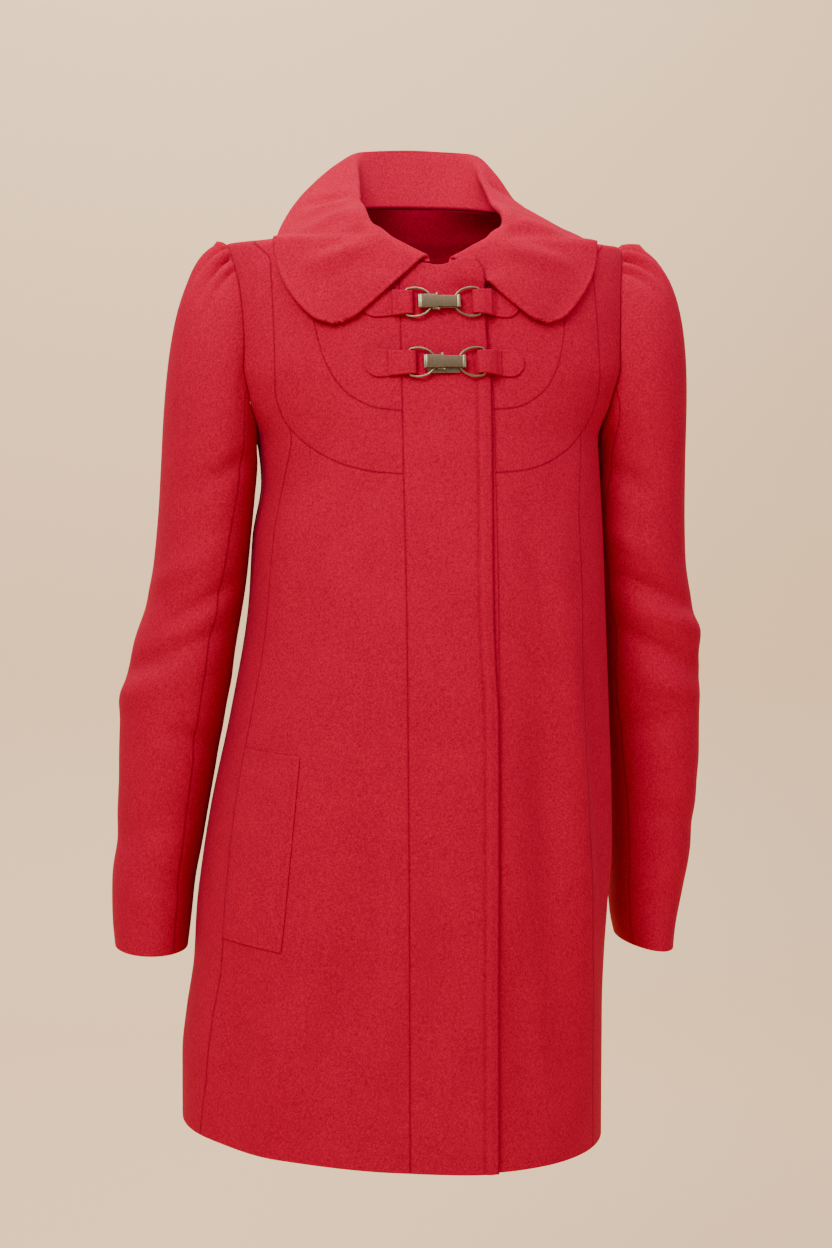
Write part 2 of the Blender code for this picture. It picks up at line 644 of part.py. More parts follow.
def add_back(collection):
    """The back in one piece, from side seam to side seam."""
    halves = {}
    for side in (-1, 1):
        shoulder = chain(
            shoulder_seam(side, 0, INNER_YOKE_SHOULDER, INNER_YOKE_ROWS),
            shoulder_seam(side, INNER_YOKE_SHOULDER, OUTER_YOKE_SHOULDER, OUTER_YOKE_ROWS),
            shoulder_seam(side, OUTER_YOKE_SHOULDER, SHOULDER_END, SIDE_COLUMNS))
        edge = chain(armhole(side, False, ARMHOLE_SEGMENTS), side_seam(side, SIDE_SEAM_SEGMENTS))
        halves[side] = (shoulder, edge)
    neck = neck_curve(-90, -270, BACK_NECK_SEGMENTS)[:, :3]
    top = chain(halves[-1][0][::-1], neck, halves[1][0])
    bottom = hem_curve(halves[-1][1][-1], halves[1][1][-1], len(top) - 1, back=True)
    grid = patch(top, bottom, halves[-1][1], halves[1][1])
    grid = draw_in(grid, GAP / 2)
    wall("back", grid, outward(grid), CLOTH, collection)


def strip(columns, top, heights):
    """A strip down the front, its columns given as one distance across for each height."""
    across = np.stack([column + 0 * heights for column in columns], axis=1)
    height = np.repeat(heights[:, None], len(columns), axis=1)
    height[0] = top(across[0])
    return front_point(across, height)


def placket_top(across):
    free = through_rows(PLACKET_TOP, across)[:, 0]
    return np.where(across < PLACKET_TOP[0, 0], neck_height(across), free)


def add_opening(right, left, collection):
    """The placket, the fly layer under it and the left front's underlap."""
    first, second = OPENING_COLUMNS
    height = chain(right["centre_inner"], right["centre_outer"], right["centre_front"])[:, 2]
    height = np.concatenate([height[:1], [-0.056, -0.064, -0.071], height[1:]])
    edge = through_rows(OPENING_EDGE, height)[:, 0]
    inside = np.minimum(RISE_END, edge - 4 * MM)
    placket = strip((PLACKET_SEAM, first, second, inside, edge), placket_top, height)
    placket = draw_in(placket, GAP / 2)
    away = outward(placket)
    lifted = placket + away * placket_level(placket)[..., None]
    wall("placket", lifted, away, CLOTH, collection)

    below = height[height < FLY_TOP]
    fly_edge = through_rows(OPENING_EDGE, below)[:, 1]
    fly = strip((second, RISE_END, fly_edge), lambda across: below[0] + 0 * across, below)
    away = outward(fly)
    level = placket_level(fly) - (PLACKET_RISE / 2)
    wall("fly_layer", fly + away * level[..., None], away, FLY_CLOTH, collection)

    height = chain(left["centre_inner"], left["centre_outer"], left["centre_front"])[:, 2]
    lap = strip((UNDERLAP_EDGE, first, second, LEFT_FRONT_SEAM), neck_height, height)
    lap = draw_in(lap, GAP / 2)
    away = outward(lap)
    wall("left_underlap", lap + away * underlap_level(lap)[..., None], away, CLOTH, collection)


def between_rows(grid, row, column):
    """Points of a grid at fractional rows and columns, on its facets."""
    low = np.clip(np.floor(row).astype(int), 0, grid.shape[0] - 2)
    left = np.clip(np.floor(column).astype(int), 0, grid.shape[1] - 2)
    down, across = (row - low)[..., None], (column - left)[..., None]
    top = grid[low, left] * (1 - across) + grid[low, left + 1] * across
    bottom = grid[low + 1, left] * (1 - across) + grid[low + 1, left + 1] * across
    return top * (1 - down) + bottom * down


def grid_place(grid, row, column, across, height):
    """The fractional rows and columns of a grid where it has these distances and heights."""
    for _ in range(6):
        here = between_rows(grid, row, column)
        per_row = between_rows(grid, row + 0.5, column) - between_rows(grid, row - 0.5, column)
        row = row + (height - here[:, 2]) / per_row[:, 2]
        here = between_rows(grid, row, column)
        per_column = between_rows(grid, row, column + 0.5) - between_rows(grid, row, column - 0.5)
        column = column + (across - here[:, 0]) / per_column[:, 0]
    return row, column


def add_welt(front, collection):
    """The pocket welt, made from the right front's own points beside the princess seam."""
    last = front.shape[1] - 1
    height = front[:, last, 2]
    ends = np.interp([-WELT_TOP, -WELT_BOTTOM], -height, np.arange(len(height)))
    rows = np.arange(np.ceil(ends[0]), np.floor(ends[1]) + 1)
    rows = rows[(rows > ends[0] + 0.15) & (rows < ends[1] - 0.15)]
    rows = np.concatenate([ends[:1], rows, ends[1:]])
    share = (rows - rows[0]) / (rows[-1] - rows[0])
    across = -WELT_FRONT_TOP + (WELT_FRONT_TOP - WELT_FRONT_BOTTOM) * share
    drop = WELT_DROP_TOP + (WELT_DROP_BOTTOM - WELT_DROP_TOP) * share
    target = np.interp(rows, np.arange(len(height)), height) + drop
    row, column = grid_place(front, rows, np.full(rows.shape, last - 1.0), across, target)
    inner = np.arange(np.ceil(column.max() + 0.15), last)
    columns = np.stack([column, *[0 * column + k for k in inner], 0 * column + last - 0.04], axis=1)
    part = (columns - column[:, None]) / (columns[:, -1] - column)[:, None]
    row = row[:, None] + (rows - row)[:, None] * part
    away = between_rows(outward(front), row, columns)
    level = CLOTH / 2 + GAP + WELT_LIFT + WELT_CLOTH / 2
    grid = between_rows(front, row, columns) + away * level
    wall("right_pocket_welt", grid, away, WELT_CLOTH, collection)


# ---------------------------------------------------------------- collar

def neckline(angle):
    """Points of the sewn neckline at these angles, with the direction on past it and outwards."""
    first, second = OPENING_COLUMNS

    def corners(across, turn):
        return neck_curve(neck_angle(across), neck_angle(across) + 1e-6, 1)[:1] + [0, 0, 0, turn]

    sewn = np.concatenate([
        corners(second, 0), corners(first, 0),
        neck_curve(neck_angle(PLACKET_SEAM), -90, YOKE_SEGMENTS),
        neck_curve(-90, -270, BACK_NECK_SEGMENTS)[1:],
        neck_curve(-270, neck_angle(LEFT_FRONT_SEAM) - 360, YOKE_SEGMENTS)[1:],
        corners(second, -360), corners(first, -360),
    ])
    points = np.stack([np.interp(-angle, -sewn[:, 3], sewn[:, k]) for k in range(3)], axis=1)
    ahead = np.stack([np.interp(0.5 - angle, -sewn[:, 3], sewn[:, k]) for k in range(3)], axis=1)
    behind = np.stack([np.interp(-0.5 - angle, -sewn[:, 3], sewn[:, k]) for k in range(3)], axis=1)
    away = outward(points)
    past = np.cross(ahead - behind, away)
    return points, past / np.linalg.norm(past, axis=1, keepdims=True), away


def collar_grid(columns_per_row, stand_rows, roll_rows, leaf_rows):
    """Collar points: each section goes up its stand, over the roll and down the leaf."""
    index = np.arange(len(COLLAR))[:, None]
    at = np.linspace(0, len(COLLAR) - 1, (len(COLLAR) - 1) * columns_per_row + 1)
    rows = through_rows(np.hstack([index, COLLAR]), at)
    roll, edge, crown = rows[:, 1:4], rows[:, 4:7], rows[:, 7]
    neck, past, away = neckline(rows[:, 0])
    under_placket = (rows[:, 0] < -300) * underlap_level(neck)
    over_seam = (rows[:, 0] > -60) * PLACKET_RISE * rise_share(neck[:, 0])
    neck = neck + away * (under_placket + over_seam)[:, None]
    rising = (roll - neck) / np.linalg.norm(roll - neck, axis=1, keepdims=True)
    lean = np.abs((rising * away).sum(1))
    seam = neck + past * (2.5 * GAP + COLLAR_CLOTH / 2 * lean)[:, None]
    stand_length = np.linalg.norm(roll - seam, axis=1, keepdims=True)
    leaf_length = np.linalg.norm(edge - roll, axis=1, keepdims=True)
    before = roll + (seam - roll) * np.minimum(0.6, COLLAR_ROLL / stand_length)
    after = roll + (edge - roll) * np.minimum(0.5, COLLAR_ROLL / leaf_length)
    lines = [seam + (before - seam) * part for part in np.linspace(0, 1, stand_rows + 1)[:-1]]
    for part in np.linspace(0, 1, roll_rows + 1)[:-1]:
        lines.append((1 - part) ** 2 * before + 2 * part * (1 - part) * roll + part**2 * after)
    lines += [after + (edge - after) * part for part in np.linspace(0, 1, leaf_rows + 1)]
    grid = np.stack(lines)
    leaf = np.clip((np.arange(len(lines)) - stand_rows - roll_rows) / leaf_rows, 0, 1)
    rolled = np.clip((np.arange(len(lines)) - stand_rows) / roll_rows, 0, 1)
    for side, ends in (("right", at), ("left", len(COLLAR) - 1 - at)):
        tip = np.exp(-((ends / 0.9) ** 2))[None, :] * np.sin(np.pi * leaf**2.2)[:, None]
        grid[..., 2] -= TIP_ROUNDING[side] * tip
    bow = crown[None, :] * np.sin(np.pi * leaf)[:, None]
    return grid + outward(grid) * bow[..., None], rolled


def collar_clearance(grid, rolled):
    """The least distance of the leaf from the body form: more where it passes over a tab."""
    across, height = grid[..., 0], grid[..., 2]
    over_tab = smooth((np.abs(across) - 0.034) / 0.008) * smooth((0.092 - np.abs(across)) / 0.016)
    over_tab = over_tab * smooth((-0.058 - height) / 0.010)
    edge_rise = (surface_level(across) - CLOTH / 2) * (across > 0)
    climb = PLACKET_RISE * rise_share(across) * (across < 0)
    tucked = 1.8 * MM * smooth((0.060 - across) / 0.015) * (across > 0)
    base = CLOTH / 2 + GAP + COLLAR_CLOTH / 2 + 1.8 * MM - tucked * (1 - over_tab)
    return (base + (TAB_CLOTH + edge_rise) * over_tab + climb) * rolled[:, None]


def pressed_depth(grid, rolled):
    """The wall's depth on the side where stand and leaf face each other, pressed near the roll."""
    turn = np.argmax(rolled > 0) + 1
    nearest = np.ones(grid.shape[:2])
    for arm, facing in ((slice(0, turn), grid[turn:]), (slice(turn, None), grid[:turn])):
        for start, end in zip(facing[:-1], facing[1:]):
            line = end - start
            part = ((grid[arm] - start) * line).sum(-1) / (line**2).sum(-1)
            apart = grid[arm] - start - np.clip(part, 0, 1)[..., None] * line
            nearest[arm] = np.minimum(nearest[arm], np.linalg.norm(apart, axis=-1))
    return np.minimum(COLLAR_CLOTH / 2, 0.40 * nearest)


def add_collar(collection):
    grid, rolled = collar_grid(3, 2, 3, 6)
    grid = keep_off(grid, collar_clearance(grid, rolled))
    normals = -grid_normals(grid)
    wall("collar", grid, normals, COLLAR_CLOTH, collection, pressed_depth(grid, rolled))


# ---------------------------------------------------------------- sleeves

def sleeve_columns():
    """Shares of the armhole half at which the sleeve has its columns, closer under the pleats."""
    shares = [0.0]
    for segment in range(ARMHOLE_SEGMENTS):
        splits = HEAD_SPLITS if segment < PLEATED_SEGMENTS else 1
        shares += [(segment + (k + 1) / splits) / ARMHOLE_SEGMENTS for k in range(splits)]
    return np.array(shares)


def along_chords(curve, shares):
    """Points on the straight pieces of a curve at these shares of its count of segments."""
    at = shares * (len(curve) - 1)
    return np.stack([np.interp(at, np.arange(len(curve)), curve[:, k]) for k in range(3)], axis=1)


def armhole_ring(side):
    """The closed armhole from the shoulder point over the front, and each column's angle."""
    shares = sleeve_columns()
    front = along_chords(armhole(side, True, ARMHOLE_SEGMENTS), shares)
    back = along_chords(armhole(side, False, ARMHOLE_SEGMENTS), shares)
    ring = np.concatenate([front, back[::-1][1:-1]])
    angle = np.concatenate([180 * shares, 360 - 180 * shares[::-1][1:-1]])
    length = np.linalg.norm(np.diff(armhole(side, True, ARMHOLE_SEGMENTS), axis=0), axis=1).sum()
    along = np.concatenate([shares, shares[::-1][1:-1]]) * length
    return ring, angle, along


def sleeve_section(side, rows, height, angle, tilt):
    """A ring of the sleeve: squared ellipse round the arm's line at one height."""
    centre_x, centre_y, half_width, half_depth, turn = np.moveaxis(through_rows(rows, height), -1, 0)
    turned = np.radians(angle + turn)
    out = half_width * np.cos(turned)
    x = side * (centre_x + out)
    y = centre_y - half_depth * np.sin(turned)
    return np.stack([x, y, height + tilt * out], axis=-1)


def sleeve_grid(side, label, head_rows, rows):
    """All the points of one sleeve, down from the armhole: rows by columns round it."""
    table = RIGHT_SLEEVE if side < 0 else LEFT_SLEEVE
    ring, angle, along = armhole_ring(side)
    closed = np.vstack([ring[-1:], ring, ring[:1]])
    tangent = closed[2:] - closed[:-2]
    tangent /= np.linalg.norm(tangent, axis=1, keepdims=True)
    away = outward(ring)
    into_hole = np.cross(away, tangent) * side
    round_arm = np.radians(angle)
    down = 0.75 - 0.25 * np.cos(round_arm)
    down = np.where(np.cos(round_arm) > 0,
                    down * (1 - np.cos(round_arm)) - CAP_RISE[label] * np.cos(round_arm), down)
    leave = np.stack([side * (0.5 + 0.35 * np.cos(round_arm)), -0.35 * np.sin(round_arm), -down], axis=1)
    leave /= np.linalg.norm(leave, axis=1, keepdims=True)
    top = table[-1, 0]
    end = sleeve_section(side, table, np.full(angle.shape, top), angle, 0)
    below = sleeve_section(side, table, np.full(angle.shape, top - 0.02), angle, 0)
    chord = np.linalg.norm(end - ring, axis=1, keepdims=True)
    arrive = (below - end) / 0.02 * chord
    part = np.linspace(0, 1, head_rows + 1)[:, None, None]
    direction = leave
    for _ in range(3):
        cosine = (direction * into_hole).sum(1)[:, None]
        sine = (direction * away).sum(1)[:, None]
        side_of_edge = np.where((sine < 0) & (cosine > 0), -1, 1)
        steep = np.abs(sine)
        inwards = CLOTH / 2 * steep - GAP / 2 + 1.2 * GAP * np.maximum(cosine, 0)
        level = CLOTH / 2 * (1 - cosine) + 1.2 * GAP * np.where(cosine < 0, 1, steep)
        start = ring + into_hole * inwards + away * side_of_edge * level
        head = (
            (2 * part**3 - 3 * part**2 + 1) * start
            + (part**3 - 2 * part**2 + part) * leave * chord * CAP_FULLNESS[label]
            + (3 * part**2 - 2 * part**3) * end + (part**3 - part**2) * arrive
        )
        direction = head[1] - head[0]
        direction = direction - (direction * tangent).sum(1, keepdims=True) * tangent
        direction /= np.linalg.norm(direction, axis=1, keepdims=True)
    height = np.linspace(top, table[0, 0], rows + 1)[1:, None] * np.ones((1, len(angle)))
    lower = np.clip((top - height) / (top - table[0, 0]), 0, 1)
    arm = sleeve_section(side, table, height, angle[None, :], CUFF_TILT[label] * lower**4)
    grid = np.concatenate([head, arm])
    travel = np.linalg.norm(np.diff(grid, axis=0), axis=-1)
    travel = np.concatenate([np.zeros((1, grid.shape[1])), np.cumsum(travel, axis=0)])
    folded_back = np.clip(-1.4 * cosine[:, 0], 0, 1)
    hollow = UNDERARM_ROOM * np.exp(-(((grid[..., 2] + 0.212) / 0.022) ** 2))
    room = folded_back * (np.minimum(CLOTH + GAP + 0.25 * travel, ARM_ROOM) + hollow)
    room = np.maximum(room, np.minimum(0.45 * travel, ARM_ROOM))
    beside = np.where(np.arange(len(grid))[:, None] >= head_rows, ARM_ROOM + hollow, room)
    grid = keep_off(grid, np.where(beside > 0, beside, -1.0))
    normals = ring_normals(grid, side)
    rim = np.cross(direction, tangent)
    rim *= np.sign((rim * normals[0]).sum(1, keepdims=True))
    normals[0] = rim / np.linalg.norm(rim, axis=1, keepdims=True)
    return pleated(grid, normals, travel, along), normals


def ring_normals(grid, side):
    """Outward normals of a grid whose columns close round a tube."""
    across = np.roll(grid, -1, axis=1) - np.roll(grid, 1, axis=1)
    down = np.gradient(grid, axis=0)
    normal = np.cross(across, down) * side
    return normal / np.linalg.norm(normal, axis=-1, keepdims=True)


def pleated(grid, normals, travel, along):
    """Presses the pleats of the sleeve head into a grid, deepest just below the armhole."""
    start = np.clip(travel / PLEAT_START, 0, 1)
    fade = np.clip(1 - travel / PLEAT_LENGTH, 0, 1)
    depth = np.zeros(grid.shape[:2])
    for place, deep, half_width in PLEATS:
        depth += deep * np.exp(-(((along - place) / half_width) ** 2))[None, :] * start * fade**1.5
    return grid - normals * depth[..., None]


def add_sleeve(side, label, collection):
    """The top sleeve and the under sleeve, cut from one tube along its two seams."""
    grid, normals = sleeve_grid(side, label, SLEEVE_HEAD_ROWS, SLEEVE_ROWS)
    angle = armhole_ring(side)[1]
    front = int(np.argmin(np.abs(angle - FRONT_SEAM_ANGLE)))
    back = int(np.argmin(np.abs(angle - BACK_SEAM_ANGLE)))
    count = len(angle)
    for piece, columns in (
        ("sleeve_top", np.arange(back, count + front + 1) % count),
        ("sleeve_under", np.arange(front, back + 1)),
    ):
        part = grid[:, columns]
        inset = draw_in(part, GAP / 2)
        wall(f"{label}_{piece}", inset, normals[:, columns], CLOTH, collection)


# ---------------------------------------------------------------- fastenings

def surface_level(across):
    """Level of the top of the cloth under a fastening, above the body form."""
    return CLOTH / 2 + PLACKET_RISE * rise_share(across) * smooth((0.0465 - across) / 0.009)


def on_front(across, height, level):
    base = front_point(across, height)
    return base + outward(base) * np.asarray(level)[..., None]


def slope_stretch(across):
    """How much more level two parallel layers need where they slope down past the placket."""
    slope = (surface_level(across + MM) - surface_level(across - MM)) / (2 * MM)
    return np.sqrt(1 + slope**2)


def tab_path(direction, middle, reach, fold):
    """A tab from its rounded tip to its loop and back: distance across, level and half-width."""
    ring = middle + direction * (reach + LOOP)
    length = TAB_LENGTH - LOOP
    radius = TAB_WIDTH / 2
    doubled = (fold - LOOP) * np.array([0.0, 0.25, 0.5, 0.75, 1.0])
    single = length - (length - doubled[-1]) * np.array([0, 0.05, 0.16, 0.32, 0.52, 0.72, 0.88])
    far = np.concatenate([single, doubled[::-1]])
    lower, upper = ring + direction * far, ring + direction * doubled
    base = surface_level(ring) + TAB_CLOTH / 2 + GAP
    wire_room = WIRE + TAB_CLOTH + 3 * GAP
    turn = np.radians(np.linspace(-60, 60, 4))
    loop = ring - direction * LOOP * np.cos(turn)
    lift = (WIRE + 2 * GAP) * np.exp(-(((upper - ring) / 0.006) ** 2))
    level = np.concatenate([
        surface_level(lower) + TAB_CLOTH / 2 + GAP,
        base + wire_room / 2 * (1 + np.sin(turn)),
        surface_level(upper) + TAB_CLOTH / 2 + GAP + (TAB_CLOTH + GAP) * slope_stretch(upper) + lift,
    ])
    rounding = np.sqrt(np.clip(1 - np.clip(1 - (length - far) / radius, 0, 1) ** 2, 0.03, 1))
    narrowing = smooth((length - far - radius) / (length - radius))
    lower_half = radius * rounding + (LOOP_WIDTH / 2 - radius) * narrowing
    upper_half = LOOP_WIDTH / 2 + 0.0012 * np.linspace(0, 1, len(upper))
    half = np.concatenate([lower_half, np.full(len(loop), LOOP_WIDTH / 2), upper_half])
    return np.concatenate([lower, loop, upper]), level, half


def add_tab(name, direction, height, middle, reach, fold, collection):
    across, level, half = tab_path(direction, middle, reach, fold)
    rows = half[:, None] * np.linspace(-1, 1, 5)[None, :] + height
    spread = np.repeat(across[:, None], 5, axis=1)
    grid = on_front(spread, rows, np.repeat(level[:, None], 5, axis=1))
    wall(name, grid, grid_normals(grid), TAB_CLOTH, collection)


def up_the_front(across, height):
    """The direction up the cloth at a point of the front."""
    step = on_front(across, height + 1.0 * MM, 0.0) - on_front(across, height - 1.0 * MM, 0.0)
    return step / np.linalg.norm(step)


def clasp_level(middle, shift):
    """Level of the clasp's slot, whose left end clears the placket."""
    return surface_level(middle + shift + CLASP_LENGTH / 2) + 0.5 * MM + CLASP_THICKNESS / 2


def add_ring(name, direction, height, middle, reach, shift, collection):
    """A wire ring with one straight side, which runs through the tab's loop."""
    deep = RING_DEPTH - WIRE
    half_height = (RING_HEIGHT - WIRE) / 2
    straight = middle + direction * (reach + LOOP)
    held = surface_level(straight) + 2.5 * GAP + TAB_CLOTH + WIRE / 2
    near = on_front(straight, height, held)
    far = on_front(straight - direction * deep, height, clasp_level(middle, shift))
    out_axis = (far - near) / np.linalg.norm(far - near)
    up_axis = up_the_front(middle, height)
    turn = np.radians(np.linspace(-90, 90, 17))
    out = np.concatenate([deep * np.abs(np.cos(turn)) ** 0.85, np.zeros(4)])
    up = np.concatenate([np.sin(turn), [0.6, 0.2, -0.2, -0.6]]) * half_height
    line_points = far + (out - deep)[:, None] * out_axis + up[:, None] * up_axis
    curve = bpy.data.curves.new(name, "CURVE")
    curve.dimensions = "3D"
    curve.bevel_depth = WIRE / 2
    curve.bevel_resolution = 1
    line = curve.splines.new("POLY")
    line.points.add(len(out) - 1)
    line.use_cyclic_u = True
    for point, place in zip(line.points, line_points):
        point.co = (*place, 1)
    line.use_smooth = True
    add_object(name, curve, BRASS, collection)


def rounded_bar(length, thickness, steps):
    """The outline of a bar with round ends."""
    radius = thickness / 2
    turn = np.radians(np.linspace(-90, 90, steps + 1))
    right = np.stack([length / 2 - radius + radius * np.cos(turn), radius * np.sin(turn)], axis=1)
    return np.concatenate([right, -right])


def add_clasp(name, height, middle, shift, collection):
    """A flat snap link: both rings run through the slot along it."""
    outline = bpy.data.curves.new(name, "CURVE")
    outline.dimensions = "2D"
    outline.fill_mode = "BOTH"
    outline.extrude = CLASP_WIDTH / 2 - CLASP_ROUNDING
    outline.bevel_depth = CLASP_ROUNDING
    outline.bevel_resolution = 1
    outline.offset = -CLASP_ROUNDING
    slot_length = CLASP_LENGTH - 2 * CLASP_WALL
    slot_height = CLASP_THICKNESS - 2 * CLASP_WALL
    for length, thickness, steps in ((CLASP_LENGTH, CLASP_THICKNESS, 6), (slot_length, slot_height, 4)):
        points = rounded_bar(length, thickness, steps)[:: 1 if length == CLASP_LENGTH else -1]
        line = outline.splines.new("POLY")
        line.points.add(len(points) - 1)
        line.use_cyclic_u = True
        for point, (x, y) in zip(line.points, points):
            point.co = (x, y, 0, 1)
    clasp = add_object(name, outline, BRASS, collection)
    up_axis = up_the_front(middle + shift, height)
    away = outward(front_point(middle + shift, height))
    along = np.cross(away, up_axis)
    along /= -np.linalg.norm(along)
    centre = on_front(middle + shift, height, clasp_level(middle, shift))
    axes = Matrix((along, np.cross(up_axis, along), up_axis)).transposed().to_4x4()
    clasp.matrix_world = Matrix.Translation(Vector(centre)) @ axes
    weld = clasp.modifiers.new("joined", "WELD")
    weld.merge_threshold = 0.01 * MM


def add_fastening(label, collection):
    height, middle, reach, shift, right_fold, left_fold = FASTENINGS[label]
    for side, direction, fold in (("right", -1, right_fold), ("left", 1, left_fold)):
        add_tab(f"{label}_{side}_tab", direction, height, middle, reach, fold, collection)
        add_ring(f"{label}_{side}_ring", direction, height, middle, reach, shift, collection)
    add_clasp(f"{label}_clasp", height, middle, shift, collection)


# ---------------------------------------------------------------- the coat

def main():
    for old in list(bpy.data.objects):
        bpy.data.objects.remove(old)
    coat = bpy.data.collections.new("duffle_coat")
    bpy.context.scene.collection.children.link(coat)

    right, right_front = add_front(-1, "right", coat)
    left = add_front(1, "left", coat)[0]
    add_opening(right, left, coat)
    add_back(coat)
    add_collar(coat)
    add_welt(right_front, coat)
    for side, label in ((-1, "right"), (1, "left")):
        add_sleeve(side, label, coat)
    for label in FASTENINGS:
        add_fastening(label, coat)


if __name__ == "__main__":
    main()
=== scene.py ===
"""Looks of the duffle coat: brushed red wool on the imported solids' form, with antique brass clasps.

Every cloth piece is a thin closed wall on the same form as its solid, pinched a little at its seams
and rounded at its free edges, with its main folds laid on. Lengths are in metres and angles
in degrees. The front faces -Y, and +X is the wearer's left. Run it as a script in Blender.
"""

import bpy
import numpy as np
from bpy.props import FloatProperty, FloatVectorProperty, PointerProperty
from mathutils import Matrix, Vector


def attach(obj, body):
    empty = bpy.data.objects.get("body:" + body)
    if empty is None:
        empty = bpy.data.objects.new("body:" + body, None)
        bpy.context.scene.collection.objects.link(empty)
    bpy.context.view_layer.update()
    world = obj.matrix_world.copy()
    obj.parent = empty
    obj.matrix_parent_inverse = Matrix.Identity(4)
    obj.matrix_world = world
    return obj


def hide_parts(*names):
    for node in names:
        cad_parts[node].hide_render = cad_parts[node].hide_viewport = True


bl_info = {
    "name": "Duffle coat",
    "version": (1, 0, 0),
    "blender": (4, 5, 0),
    "location": "3D Viewport > Sidebar > Coat",
    "description": "Builds the cloth, fastenings and studio of a duffle coat on its packed solids",
    "category": "Object",
}

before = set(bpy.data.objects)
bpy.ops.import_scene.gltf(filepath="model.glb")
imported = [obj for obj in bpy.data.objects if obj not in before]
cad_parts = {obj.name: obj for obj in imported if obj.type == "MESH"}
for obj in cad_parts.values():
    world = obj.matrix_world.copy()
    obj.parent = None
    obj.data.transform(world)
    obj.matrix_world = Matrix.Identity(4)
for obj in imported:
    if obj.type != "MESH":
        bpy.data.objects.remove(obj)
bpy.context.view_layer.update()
MM = 0.001
SIDES = ((-1, "right"), (1, "left"))
FINE = np.linspace(0, 1, 801)


def table(rows, plain=()):
    """A table whose lengths are given in millimetres, in metres. Its plain columns aren't lengths."""
    values = np.array(rows, float)
    lengths = [column for column in range(values.shape[1]) if column not in plain]
    values[:, lengths] /= 1000
    return values


# Cloth and clearances
CLOTH = 2.5 * MM
COLLAR_CLOTH = 3.6 * MM
WELT_CLOTH = 1.5 * MM
TAB_CLOTH = 2.0 * MM
FLY_CLOTH = 1.5 * MM
GAP = 0.3 * MM

# Main sizes
HEM_HEIGHT = -0.8460
HEM_RISE = 0.10  # the hem rises with the square of the distance from the centre
HEM_TILT = -0.053  # the hem drops towards the wearer's left
SHOULDER_END = -0.030  # height of the shoulder points below the neck points
NECK_WIDTH = 0.073
NECK_FRONT = -0.050
NECK_BACK = 0.008
PLACKET_SEAM = -0.0395
LEFT_FRONT_SEAM = 0.022
RISE_END = 0.030  # the placket is level again from here to its edge
UNDERLAP_EDGE = -0.030
FLY_TOP = -0.160

# Free edges of the front opening: height, then how far the placket's and the fly layer's edges
# are from the centre front
OPENING_EDGE = table([
    (-860, 38.8, 37.5), (-600, 39.2, 37.5), (-440, 39.5, 38), (-400, 37.2, 40.3),
    (-340, 35.8, 40.5), (-228, 37.6, 40.8), (-158, 38.4, 40.4), (-121, 36, 38), (-100, 35.2, 38),
    (-64, 35, 38), (-56, 33, 38), (-51, 31, 38), (-47.5, 27.5, 38),
])
# Top edge of the placket: distance from the centre front and height
PLACKET_TOP = table([
    (-11, -50), (0, -50.5), (8, -49), (17, -46.5), (28, -47),
])

SIDE_SEAM_DEPTH = 0.010

# Princess seams: height, then the depth of the right and of the left seam
PRINCESS = table([
    (-860, -50, -85), (-806, -57, -86), (-767, -63, -87), (-712, -64, -89), (-645, -69, -99),
    (-561, -65, -106), (-500, -61, -106), (-443, -60, -105), (-395, -60, -103), (-345, -60.5, -99),
    (-305, -61, -95), (-250, -57, -89),
])

# Body form: height, half-widths to the right and left, half-depths to the front and back, and the
# squareness of the outline
BODY = table([
    (-900, 227, 164.5, 150, 152, 2.1), (-845, 226, 164.5, 149, 150, 2.1),
    (-767, 225.5, 164.5, 147, 149, 2.1), (-729, 221.5, 164.5, 146, 147, 2.1),
    (-681, 214, 166, 145, 145, 2.12), (-633, 211, 169, 144.5, 143, 2.15),
    (-586, 205, 173, 143.5, 140, 2.15), (-538, 197, 172.5, 142, 136, 2.15),
    (-449, 177.5, 168.8, 139, 128, 2.2), (-351, 161, 164.8, 134, 118, 2.2),
    (-290, 157, 162.5, 127, 112, 2.2), (-242, 149, 160, 120, 108, 2.2),
    (-203, 153, 158, 115, 107, 2.2), (-167, 173, 173, 110, 105, 2.2),
    (-136, 184, 184, 105, 102, 2.3), (-91, 186, 186, 98, 96, 2.25), (-54, 185, 185, 89, 85, 2.1),
    (-30, 180, 180, 78, 73, 2), (-24.5, 140, 140, 74, 69, 2), (-13, 112, 112, 69, 63, 2),
    (0, 73, 73, 62, 56, 2), (12, 45, 45, 55, 50, 2),
], plain=(5,))
CENTRE_DEPTH = -0.005

# Yoke seams, from the placket to the shoulder: distance from the centre front and height
INNER_YOKE = table([
    (36, -176.5), (63, -173.5), (76, -168), (88, -159.5), (100, -143), (107.5, -124), (113, -98),
    (118, -70), (122, -40),
])
OUTER_YOKE = table([
    (36, -231), (64, -229), (88, -223.5), (109, -213), (124, -201), (139, -180), (145, -157),
    (145.7, -120), (146.5, -80), (147, -43),
])
INNER_YOKE_SHOULDER = -0.0178
OUTER_YOKE_SHOULDER = -0.0256
LEFT_YOKE_SHIFT = -0.007  # the left yoke seams lean in towards the neck

# Armhole: an egg in side view
ARMHOLE_MIDDLE = -0.1165
ARMHOLE_HALF_HEIGHT = 0.0865
ARMHOLE_FRONT = 0.051
ARMHOLE_BACK = 0.058
ARMHOLE_EGG = 0.10

